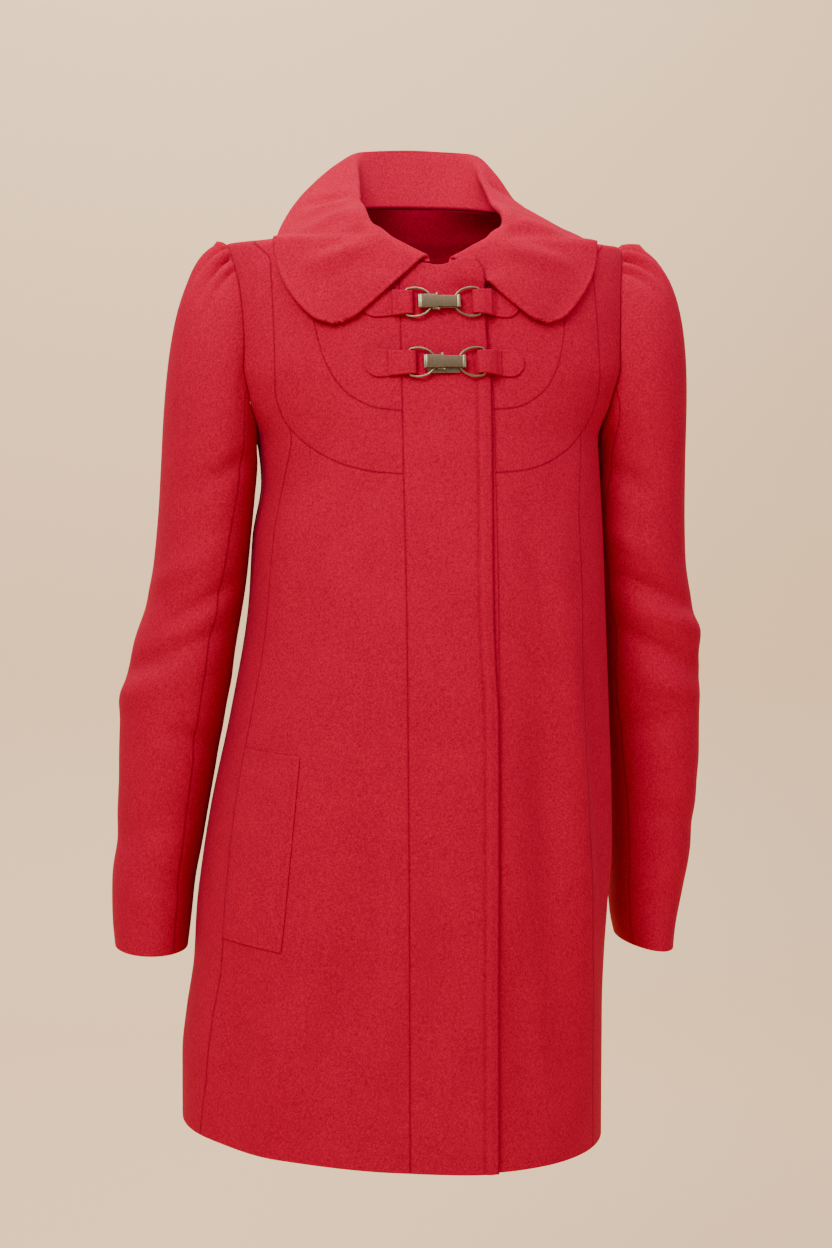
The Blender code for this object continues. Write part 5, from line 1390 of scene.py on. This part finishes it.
def round_eased(grid, times):
    """A tube's sheet smoothed below its first rows, where keeping off the body left corners."""
    for _ in range(times):
        ahead, behind = np.roll(grid, -1, axis=1), np.roll(grid, 1, axis=1)
        mean = (grid[:-2] + grid[2:] + ahead[1:-1] + behind[1:-1]) / 4
        moved = grid.copy()
        moved[1:-1] += 0.5 * (mean - grid[1:-1])
        moved[:STILL_ROWS] = grid[:STILL_ROWS]
        grid = moved
    return grid


def ring_normals(grid, side):
    """Outward normals of a grid whose columns close round a tube."""
    across = np.roll(grid, -1, axis=1) - np.roll(grid, 1, axis=1)
    return unit(np.cross(across, np.gradient(grid, axis=0)) * side)


def tuck_depth(label, travel, travelled):
    """Tucks of the sleeve head: narrow troughs below the armhole, each a bell curve of the distance
    round it, that widen and fade downwards, with a soft bulge behind each."""
    start = np.clip(travel / TUCK_START, 0, 1)
    fade = np.clip(1 - travel / TUCK_LENGTH, 0, 1) ** TUCK_FADE
    bulge, bulge_place, bulge_width = TUCK_BULGE
    depth = np.zeros(travel.shape)
    for place, lean, deep, half_width in HEAD_TUCKS[label]:
        width = half_width * (TUCK_SPREAD[0] + travel / TUCK_SPREAD[1])
        off = travelled[None, :] - place - lean * travel
        depth += deep * bell(off / width)
        away = off + np.sign(place) * bulge_place * width
        depth -= bulge * deep * bell(away / (bulge_width * width))
    return depth * start * fade * settings().fold_strength


def sleeve_creases(label, grid, angle):
    """Soft creases round the arm: bell curves of height, tilted round it and faded at both ends."""
    out = np.zeros(grid.shape[:2])
    for height, slope, middle, reach, half_width, raised in SLEEVE_FOLDS[label]:
        turn = (angle - middle + 180) % 360 - 180
        line = height + slope * turn[None, :] / 90
        out += raised * bell((grid[..., 2] - line) / half_width) * bell(turn / reach)[None, :]
    return out * settings().fold_strength


def make_sleeve(side, label):
    """The top sleeve and the under sleeve, cut from one tube along its two seams."""
    grid, normals, angle = sleeve_sheet(side, label)
    front = int(np.argmin(np.abs(angle - FRONT_SEAM_ANGLE)))
    back = int(np.argmin(np.abs(angle - BACK_SEAM_ANGLE)))
    over = np.arange(back, len(angle) + front + 1) % len(angle)
    for piece, columns in (("sleeve_top", over), ("sleeve_under", np.arange(front, back + 1))):
        part = draw_in(grid[:, columns], SEAM_GAP / 2)
        cloth_shell(f"{label}_{piece}", part, normals[:, columns], CLOTH, "seam free seam seam")


# ---- fastenings

def slope_stretch(across):
    """How much more level two parallel layers need where they slope down past the placket."""
    slope = (surface_level(across + MM) - surface_level(across - MM)) / (2 * MM)
    return np.sqrt(1 + slope**2)


def tab_path(direction, middle, reach, fold):
    """A tab from its rounded tip to its loop and back: distance across, level and half-width. The
    tip is half a circle, the loop is part of one, and the turned-back layer rises over the wire."""
    ring = middle + direction * (reach + LOOP)
    length = TAB_LENGTH - LOOP
    radius = TAB_WIDTH / 2
    doubled = (fold - LOOP) * np.concatenate([np.linspace(0, 0.9, 16), [0.94, 0.97, 0.985, 1.0]])
    single = length - (length - doubled[-1]) * np.concatenate([TIP_SHARES, np.linspace(0.3, 0.97, 14)])
    far = np.concatenate([single, doubled[::-1]])
    lower, upper = ring + direction * far, ring + direction * doubled
    rest = TAB_CLOTH / 2 + GAP
    wire_room = WIRE + TAB_CLOTH + 3 * GAP
    turn = np.radians(np.linspace(-LOOP_TURN, LOOP_TURN, 15))
    loop = ring - direction * LOOP * np.cos(turn)
    lift = (WIRE + 2 * GAP) * bell((upper - ring) / WIRE_SWELL)
    level = np.concatenate([
        surface_level(lower) + rest,
        surface_level(ring) + rest + wire_room / 2 * (1 + np.sin(turn)),
        surface_level(upper) + rest + (TAB_CLOTH + GAP) * slope_stretch(upper) + lift,
    ])
    near_tip = np.clip(1 - (length - far) / radius, 0, 1)
    rounding = np.sqrt(np.clip(1 - near_tip**2, TAB_TIP_LEAST, 1))
    narrowing = smooth((length - far - radius) / (length - radius))
    lower_half = radius * rounding + (LOOP_WIDTH / 2 - radius) * narrowing
    upper_half = LOOP_WIDTH / 2 + TAB_WIDENING * np.linspace(0, 1, len(upper))
    half = np.concatenate([lower_half, np.full(len(loop), LOOP_WIDTH / 2), upper_half])
    return np.concatenate([lower, loop, upper]), level, half


def make_tab(node, direction, height, middle, reach, fold):
    """A tab with round edges and a line of stitching: its path, spread over its width."""
    across, level, half = tab_path(direction, middle, reach, fold)
    columns = np.concatenate([-1 + NEAR_EDGE, np.linspace(-0.62, 0.62, 9), 1 - NEAR_EDGE[::-1]])
    rows = half[:, None] * columns[None, :] + height
    across, level = (np.repeat(line[:, None], len(columns), axis=1) for line in (across, level))
    grid = on_front(across, rows, level)
    cloth_shell(node, grid, grid_normals(grid), TAB_CLOTH, "free free free free", stitch=TAB_STITCH)


def swept(path, side_axis, offsets):
    """A closed tube's points and faces: a loop of offsets carried along a closed path, in the plane
    of the path's own normal and one fixed axis."""
    normal = unit(np.cross(np.roll(path, -1, axis=0) - np.roll(path, 1, axis=0), side_axis))
    points = path[:, None] + normal[:, None] * offsets[..., :1] + side_axis * offsets[..., 1:]
    stations, sides = len(path), offsets.shape[-2]
    index = np.arange(stations * sides).reshape(stations, sides)
    after, over = np.roll(index, -1, axis=0), np.roll(index, -1, axis=1)
    faces = np.stack([index, over, np.roll(over, -1, axis=0), after], axis=-1).reshape(-1, 4)
    return facing_out(points.reshape(-1, 3), faces)


def turned_solid(centre, axis, radii, places, sides=20):
    """A turned solid: rings of these radii at these places along its axis, closed at both ends by a
    fan of triangles round one point."""
    axis = unit(axis)
    helper = np.array([0.0, 0.0, 1.0]) if abs(axis[2]) < 0.8 else np.array([1.0, 0.0, 0.0])
    first = unit(np.cross(axis, helper))
    second = np.cross(axis, first)
    turn = np.linspace(0, 2 * np.pi, sides, endpoint=False)
    spoke = np.cos(turn)[:, None] * first + np.sin(turn)[:, None] * second
    rings = centre + places[:, None, None] * axis + radii[:, None, None] * spoke[None]
    ends = [centre + places[0] * axis, centre + places[-1] * axis]
    points = np.concatenate([rings.reshape(-1, 3), ends])
    index = np.arange(len(places) * sides).reshape(len(places), sides)
    over = np.roll(index, -1, axis=1)
    quads = np.stack([index[:-1], over[:-1], over[1:], index[1:]], axis=-1).reshape(-1, 4)
    start, end = len(points) - 2, len(points) - 1
    caps = np.concatenate([
        np.stack([over[0], index[0], np.full(sides, start)], axis=-1),
        np.stack([index[-1], over[-1], np.full(sides, end)], axis=-1),
    ])
    return facing_out(points, quads, caps)


def rod(centre, axis, radius, length):
    """A round rod whose ends are rounded off in a quarter circle."""
    ease = min(radius * 0.4, length * 0.3)
    places = np.array([0, 0.3, 0.7, 1.0]) * ease
    radii = radius - ease + ease * np.sqrt(1 - (1 - places / ease) ** 2)
    return turned_solid(centre, axis, np.concatenate([radii, radii[::-1]]),
                        np.concatenate([places - length / 2, length / 2 - places[::-1]]))


def ball(centre, radius):
    """A ball as a turned solid: radii by the sine and places by the cosine of one angle."""
    turn = np.linspace(0.08, np.pi - 0.08, 13)
    up = np.array([0.0, 0.0, 1.0])
    return turned_solid(centre, up, radius * np.sin(turn), -radius * np.cos(turn))


def joined(parts):
    """Points, quads and triangles of several closed solids as one mesh."""
    points, quads, triangles, count = [], [], [], 0
    for part_points, part_quads, part_triangles in parts:
        points.append(part_points)
        quads.append(part_quads + count)
        if part_triangles is not None:
            triangles.append(part_triangles + count)
        count += len(part_points)
    return np.concatenate(points), np.concatenate(quads), np.concatenate(triangles)


def facing_out(points, quads, triangles=None):
    """The same faces turned so that the closed mesh holds a positive volume."""
    a, b, c, d = (points[quads[:, k]] for k in range(4))
    volume = (np.cross(a, b) * c).sum() + (np.cross(a, c) * d).sum()
    if volume < 0:
        quads = quads[:, ::-1]
        triangles = None if triangles is None else triangles[:, ::-1]
    return points, quads, triangles


def make_ring(node, direction, height, middle, reach, shift):
    """A wire ring of one arc and one straight side, which runs through the tab's loop, smoothed
    along its path and swept with a circle."""
    deep = RING_DEPTH - WIRE
    half_height = (RING_HEIGHT - WIRE) / 2
    straight = middle + direction * (reach + LOOP)
    held = surface_level(straight) + 2.5 * GAP + TAB_CLOTH + WIRE / 2
    near = on_front(straight, height, held)
    far = on_front(straight - direction * deep, height, clasp_level(middle, shift))
    out_axis = unit(far - near)
    up_axis = up_the_front(middle, height)
    turn = np.radians(np.linspace(-RING_ARC, RING_ARC, 61))
    end = np.cos(turn[0])
    out = np.concatenate([deep * (np.cos(turn) - end) / (1 - end), np.zeros(12)])
    side = np.linspace(RING_SIDE, -RING_SIDE, 12) * np.sin(turn[-1])
    up = np.concatenate([np.sin(turn), side]) * half_height
    path = closed_loop(far + (out - deep)[:, None] * out_axis + up[:, None] * up_axis, RING_POINTS)
    for _ in range(RING_SMOOTHING):
        path = 0.5 * path + 0.25 * (np.roll(path, 1, axis=0) + np.roll(path, -1, axis=0))
    turn = np.linspace(0, 2 * np.pi, 16, endpoint=False)
    offsets = settings().wire / 2 * np.stack([np.cos(turn), np.sin(turn)], axis=-1)
    points, faces, _ = swept(path, unit(np.cross(out_axis, up_axis)), offsets)
    piece = make_object(f"{node}_metal", points, faces, "antique_brass")
    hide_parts(node)


def clasp_section(top, bottom):
    """The clasp band's section at each point of its loop: a rectangle between the top and bottom,
    one wall thick, with each corner rounded off in a quarter circle."""
    corner = np.radians(np.array([0, 30, 60, 90]))
    quarter = np.stack([np.cos(corner), np.sin(corner)], axis=1) * CLASP_ROUND
    wall = CLASP_WALL / 2 - CLASP_ROUND
    offsets = []
    turns = ((1, 1, 1, 0), (-1, 1, 0, 1), (-1, -1, -1, 0), (1, -1, 0, -1))
    for sign_out, sign_up, cosine, sine in turns:
        arc = quarter @ np.array([[cosine, sine], [-sine, cosine]])
        limit = (top if sign_up > 0 else bottom) - sign_up * CLASP_ROUND
        across = np.repeat((arc[None, :, 0] + sign_out * wall), len(top), axis=0)
        offsets.append(np.stack([across, arc[None, :, 1] + limit[:, None]], axis=-1))
    return np.concatenate(offsets, axis=1)


def make_clasp(label, height, middle, shift):
    """The snap link: a flat band bent into a long loop round the two rings, with a hinge barrel at
    its right end in front, a stud above it and a small spring rod with a ball below it."""
    up_axis = up_the_front(middle + shift, height)
    away = outward(front_point(middle + shift, height))
    along_axis = unit(np.cross(up_axis, away))
    along_axis *= np.sign(along_axis[0])
    away = np.cross(along_axis, up_axis)
    away *= np.sign(-away[1])
    centre = on_front(middle + shift, height, clasp_level(middle, shift))
    radius = (CLASP_THICKNESS - CLASP_WALL) / 2
    half = CLASP_LENGTH / 2 - radius - CLASP_WALL / 2
    bend = np.radians(np.linspace(-90, 90, 15))
    reach = np.concatenate([half + radius * np.cos(bend), -half - radius * np.cos(bend)])
    depth = np.concatenate([radius * np.sin(bend), -radius * np.sin(bend)])
    loop = closed_loop(np.stack([reach, depth], axis=1), RING_POINTS)
    path = centre + loop[:, :1] * along_axis + loop[:, 1:] * away
    in_front = smooth(0.5 + loop[:, 1] / CLASP_BLEND)
    wider = (1 - smooth(0.5 + (loop[:, 0] - CLASP_STEP) / CLASP_BLEND)) * in_front
    top = CLASP_WIDTH / 2 + CLASP_WIDER[0] * wider
    bottom = -CLASP_WIDTH / 2 - CLASP_WIDER[1] * wider
    hang = CLASP_BACK[label] * fall(np.abs(loop[:, 0]), half, CLASP_BACK_BLEND)
    bottom = bottom - hang * (1 - in_front)
    parts = [swept(path, up_axis, clasp_section(top, bottom))]
    for across, up, out, lies_along, part_radius, length in CLASP_PARTS:
        place = centre + across * along_axis + up * up_axis + out * away
        if length:
            parts.append(rod(place, along_axis if lies_along else up_axis, part_radius, length))
        else:
            parts.append(ball(place, part_radius))
    points, quads, triangles = joined(parts)
    node = f"{label}_clasp"
    piece = make_object(f"{node}_metal", points, quads, "antique_brass", triangles=triangles)
    piece.data.set_sharp_from_angle(angle=np.radians(CLASP_SHARP))
    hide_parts(node)


def make_fastening(label):
    """One tab and ring on each side and the clasp between them."""
    height, middle, reach, shift, right_fold, left_fold = FASTENINGS[label]
    for side, direction, fold in (("right", -1, right_fold), ("left", 1, left_fold)):
        make_tab(f"{label}_{side}_tab", direction, height, middle, reach, fold)
        make_ring(f"{label}_{side}_ring", direction, height, middle, reach, shift)
    make_clasp(label, height, middle, shift)


# ---- materials

def maths(tree, kind, first, second, third=None):
    """A maths node of this kind between sockets or numbers, and its output."""
    node = tree.nodes.new("ShaderNodeMath")
    node.operation = kind
    for socket, given in zip(node.inputs, (first, second, third)):
        if isinstance(given, (int, float)):
            socket.default_value = given
        elif given is not None:
            tree.links.new(given, socket)
    return node.outputs[0]


def noise(tree, place, looks):
    """A noise texture's value over a place socket; the looks are scale, detail and roughness."""
    node = tree.nodes.new("ShaderNodeTexNoise")
    set_inputs(node, dict(zip(("Scale", "Detail", "Roughness"), looks)))
    tree.links.new(place, node.inputs["Vector"])
    return node.outputs["Fac"]


def set_inputs(node, values):
    """Sets a node's inputs by name."""
    for name, value in values.items():
        node.inputs[name].default_value = value


def new_group(name, inputs, outputs):
    """A node group with these named kinds of socket, and its two end nodes."""
    group = bpy.data.node_groups.new(name, "ShaderNodeTree")
    for direction, sockets in (("INPUT", inputs), ("OUTPUT", outputs)):
        for label, kind in sockets.items():
            group.interface.new_socket(label, in_out=direction, socket_type=f"NodeSocket{kind}")
    return group, group.nodes.new("NodeGroupInput"), group.nodes.new("NodeGroupOutput")


def scale_colour(group, given, tone, result):
    """The group's colour times a tone."""
    shaded = group.nodes.new("ShaderNodeVectorMath")
    shaded.operation = "SCALE"
    group.links.new(given.outputs["Colour"], shaded.inputs[0])
    group.links.new(tone, shaded.inputs["Scale"])
    group.links.new(shaded.outputs[0], result.inputs["Colour"])


def felt_group():
    """Mottled felt: fine and coarse noise lighten and darken the colour, painted shade darkens the
    seams, and the same noise gives the nap's height."""
    group, given, result = new_group(
        "felted_wool", {"Colour": "Color", "Place": "Vector", "Seam": "Float"},
        {"Colour": "Color", "Height": "Float"})
    place = given.outputs["Place"]
    fuzz, grain, cloud = (noise(group, place, looks) for looks in (FUZZ, GRAIN, CLOUD))
    tone = maths(group, "MULTIPLY_ADD", grain, *GRAIN_TONE)
    for pattern, share in ((fuzz, FUZZ_TONE), (cloud, CLOUD_TONE)):
        tone = maths(group, "ADD", tone, maths(group, "MULTIPLY", pattern, share))
    # painted shade: the seam mask darkens the colour
    dark = maths(group, "MULTIPLY", given.outputs["Seam"], settings().seam_painted_shade_strength)
    tone = maths(group, "MULTIPLY", tone, maths(group, "SUBTRACT", 1.0, dark))
    scale_colour(group, given, tone, result)
    height = maths(group, "ADD", maths(group, "MULTIPLY", grain, NAP_HEIGHT[0]),
                   maths(group, "MULTIPLY", fuzz, NAP_HEIGHT[1]))
    group.links.new(height, result.inputs["Height"])
    return group


def brass_group():
    """Rubbed antique brass: broad noise mixes bright and dark metal and roughens it."""
    group, given, result = new_group(
        "antique_brass", {"Colour": "Color", "Place": "Vector"},
        {"Colour": "Color", "Roughness": "Float", "Height": "Float"})
    patina, grain = (noise(group, given.outputs["Place"], looks) for looks in (PATINA, METAL_GRAIN))
    scale_colour(group, given, maths(group, "MULTIPLY_ADD", patina, *PATINA_TONE), result)
    rough = maths(group, "MULTIPLY_ADD", patina, *PATINA_ROUGHNESS)
    group.links.new(rough, result.inputs["Roughness"])
    group.links.new(maths(group, "ADD", patina, grain), result.inputs["Height"])
    return group


def material(finish):
    """The finish's material, made on first use: its own group puts colour and height into it."""
    found = bpy.data.materials.get(f"{finish}_look")
    if found is not None:
        return found
    made = bpy.data.materials.new(f"{finish}_look")
    made.use_nodes = True
    nodes, links = made.node_tree.nodes, made.node_tree.links
    shader = nodes["Principled BSDF"]
    place = nodes.new("ShaderNodeTexCoord").outputs["Object"]
    effect = nodes.new("ShaderNodeGroup")
    bump = nodes.new("ShaderNodeBump")
    if finish == "scarlet_wool":
        effect.node_tree = felt_group()
        colour = settings().wool_colour
        # the painted seam shade, read from the mesh, darkens the wool's colour
        seam = nodes.new("ShaderNodeAttribute")
        seam.attribute_name = "painted_seam_shade"
        links.new(seam.outputs["Fac"], effect.inputs["Seam"])
        set_inputs(shader, WOOL_SHADER)
        set_inputs(bump, WOOL_BUMP)
    else:
        effect.node_tree = brass_group()
        colour = settings().brass_colour
        links.new(effect.outputs["Roughness"], shader.inputs["Roughness"])
        set_inputs(shader, {"Metallic": 1.0})
        set_inputs(bump, BRASS_BUMP)
    set_inputs(effect, {"Colour": (*colour, 1)})
    links.new(place, effect.inputs["Place"])
    links.new(effect.outputs["Colour"], shader.inputs["Base Color"])
    links.new(effect.outputs["Height"], bump.inputs["Height"])
    links.new(bump.outputs["Normal"], shader.inputs["Normal"])
    return made


# ---- stage

def make_backdrop():
    """A pale wall and floor in one sweep: straight back, a quarter circle, straight up."""
    turn = np.radians(np.linspace(-90, 0, 25))
    arc = np.stack([BACKDROP_DEPTH - BACKDROP_BEND + BACKDROP_BEND * np.cos(turn),
                    FLOOR_HEIGHT + BACKDROP_BEND + BACKDROP_BEND * np.sin(turn)], axis=1)
    profile = np.concatenate([[[FLOOR_FRONT, FLOOR_HEIGHT]], arc, [[BACKDROP_DEPTH, BACKDROP_TOP]]])
    across = np.repeat([-BACKDROP_HALF_WIDTH, BACKDROP_HALF_WIDTH], len(profile))
    points = np.column_stack([across, np.tile(profile, (2, 1))])
    index = np.arange(len(profile))
    near, far = index[:-1], index[1:]
    quads = np.stack([near, near + len(profile), far + len(profile), far], axis=1)
    mesh = bpy.data.meshes.new("backdrop")
    mesh.from_pydata(points.tolist(), [], quads.tolist())
    mesh.shade_smooth()
    paint = bpy.data.materials.new("backdrop_paint")
    paint.use_nodes = True
    set_inputs(paint.node_tree.nodes["Principled BSDF"],
               {"Base Color": (*settings().backdrop_colour, 1), "Roughness": 0.9})
    mesh.materials.append(paint)
    link("backdrop", mesh)


def make_camera():
    """The camera stands in front, a little to the wearer's right, and looks slightly down."""
    camera = bpy.data.cameras.new("camera")
    camera.sensor_fit = "VERTICAL"
    camera.sensor_height = 36.0
    camera.lens = settings().lens
    place = link("camera", camera)
    place.location = settings().camera_place
    place.rotation_euler = (np.radians(90 - settings().camera_tilt), 0, np.radians(CAMERA_TURN))
    bpy.context.scene.camera = place


def make_lights():
    """Square area lights, each turned towards its own point, and a faint even light from all
    round."""
    for name, (place, target, size, power, colour) in LIGHTS.items():
        light = bpy.data.lights.new(name, "AREA")
        light.shape = "SQUARE"
        light.size = size
        light.energy = power * settings().light_level
        light.color = colour
        lamp = link(name, light)
        lamp.location = place
        aim = Vector(target) - Vector(place)
        lamp.rotation_euler = aim.to_track_quat("-Z", "Y").to_euler()
    world = bpy.data.worlds.new("studio")
    world.use_nodes = True
    set_inputs(world.node_tree.nodes["Background"],
               {"Color": WORLD_COLOUR, "Strength": WORLD_LEVEL * settings().light_level})
    bpy.context.scene.world = world


# ---- add-on

class CoatSettings(bpy.types.PropertyGroup):
    """Sizes and colours of the coat's looks."""

    wool_colour: FloatVectorProperty(
        name="Wool", description="Colour of the wool cloth", subtype="COLOR", size=3,
        default=(0.42, 0.0012, 0.029), min=0, max=1)
    brass_colour: FloatVectorProperty(
        name="Brass", description="Colour of the rings and clasps", subtype="COLOR", size=3,
        default=(0.30, 0.220, 0.140), min=0, max=1)
    backdrop_colour: FloatVectorProperty(
        name="Backdrop", description="Colour of the wall and floor", subtype="COLOR", size=3,
        default=(0.96, 0.72, 0.47), min=0, max=1)
    cloth_share: FloatProperty(
        name="Cloth thickness", description="Share of the solids' cloth thickness", default=1.0,
        min=0.4, max=1.0, subtype="FACTOR")
    fold_strength: FloatProperty(
        name="Folds", description="Share of the full depth of the soft folds", default=2.4,
        min=0.0, max=3.0, subtype="FACTOR")
    # strength of the painted shade in the seams, stitched lines and the placket's lines
    seam_painted_shade_strength: FloatProperty(
        name="Seam darkness", description="How much darker the cloth is in its seams", default=0.38,
        min=0.0, max=1.0, subtype="FACTOR")
    wire: FloatProperty(
        name="Ring wire", description="Thickness of the rings' wire", default=0.0021,
        min=0.001, max=0.0022, subtype="DISTANCE", unit="LENGTH")
    lens: FloatProperty(
        name="Lens", description="Focal length of the camera in millimetres", default=68.97,
        min=20, max=200)
    camera_place: FloatVectorProperty(
        name="Camera place", description="Where the camera stands", size=3,
        default=(-0.38927, -2.16530, -0.1584), subtype="XYZ", unit="LENGTH")
    camera_tilt: FloatProperty(
        name="Camera tilt", description="Degrees that the camera looks down", default=5.59,
        min=-30, max=60)
    light_level: FloatProperty(
        name="Light", description="Brightness of the studio's lights", default=0.94, min=0.1, max=4.0)


class COAT_OT_body(bpy.types.Operator):
    """Build the fronts, yokes, side fronts and back"""

    bl_idname = "coat.body"
    bl_label = "Body"

    def execute(self, context):
        for side, label in SIDES:
            make_front(side, label)
        make_back()
        return {"FINISHED"}


class COAT_OT_opening(bpy.types.Operator):
    """Build the placket, the fly layer and the underlap"""

    bl_idname = "coat.opening"
    bl_label = "Front opening"

    def execute(self, context):
        make_opening()
        return {"FINISHED"}


class COAT_OT_pocket(bpy.types.Operator):
    """Build the pocket welt on the right front"""

    bl_idname = "coat.pocket"
    bl_label = "Pocket welt"

    def execute(self, context):
        make_pocket()
        return {"FINISHED"}


class COAT_OT_collar(bpy.types.Operator):
    """Build the wide rolled collar"""

    bl_idname = "coat.collar"
    bl_label = "Collar"

    def execute(self, context):
        make_collar()
        return {"FINISHED"}


class COAT_OT_sleeves(bpy.types.Operator):
    """Build the top and under sleeves with their tucked heads"""

    bl_idname = "coat.sleeves"
    bl_label = "Sleeves"

    def execute(self, context):
        for side, label in SIDES:
            make_sleeve(side, label)
        return {"FINISHED"}


class COAT_OT_fastenings(bpy.types.Operator):
    """Build the tabs, rings and clasps"""

    bl_idname = "coat.fastenings"
    bl_label = "Fastenings"

    def execute(self, context):
        for label in FASTENINGS:
            make_fastening(label)
        return {"FINISHED"}


class COAT_OT_studio(bpy.types.Operator):
    """Build the backdrop, the lights and the camera"""

    bl_idname = "coat.studio"
    bl_label = "Studio"

    def execute(self, context):
        make_backdrop()
        make_lights()
        make_camera()
        return {"FINISHED"}


class COAT_PT_panel(bpy.types.Panel):
    """Lists the coat's settings and its pieces"""

    bl_label = "Duffle coat"
    bl_idname = "COAT_PT_panel"
    bl_space_type = "VIEW_3D"
    bl_region_type = "UI"
    bl_category = "Coat"

    def draw(self, context):
        for name in CoatSettings.__annotations__:
            self.layout.prop(context.scene.coat, name)
        for operator in OPERATORS:
            self.layout.operator(operator.bl_idname)


OPERATORS = (
    COAT_OT_body, COAT_OT_opening, COAT_OT_pocket, COAT_OT_collar, COAT_OT_sleeves,
    COAT_OT_fastenings, COAT_OT_studio,
)
CLASSES = (CoatSettings, *OPERATORS, COAT_PT_panel)


def register():
    """Makes the coat's settings, operators and panel known to Blender."""
    for one in CLASSES:
        bpy.utils.register_class(one)
    bpy.types.Scene.coat = PointerProperty(type=CoatSettings)


def unregister():
    """Takes them away again."""
    del bpy.types.Scene.coat
    for one in reversed(CLASSES):
        bpy.utils.unregister_class(one)


def main():
    """Builds every piece and the studio."""
    register()
    for operator in OPERATORS:
        group, name = operator.bl_idname.split(".")
        result = getattr(getattr(bpy.ops, group), name)()
        if result != {"FINISHED"}:
            raise RuntimeError(f"{operator.bl_label} was not built")


if __name__ == "__main__":
    main()
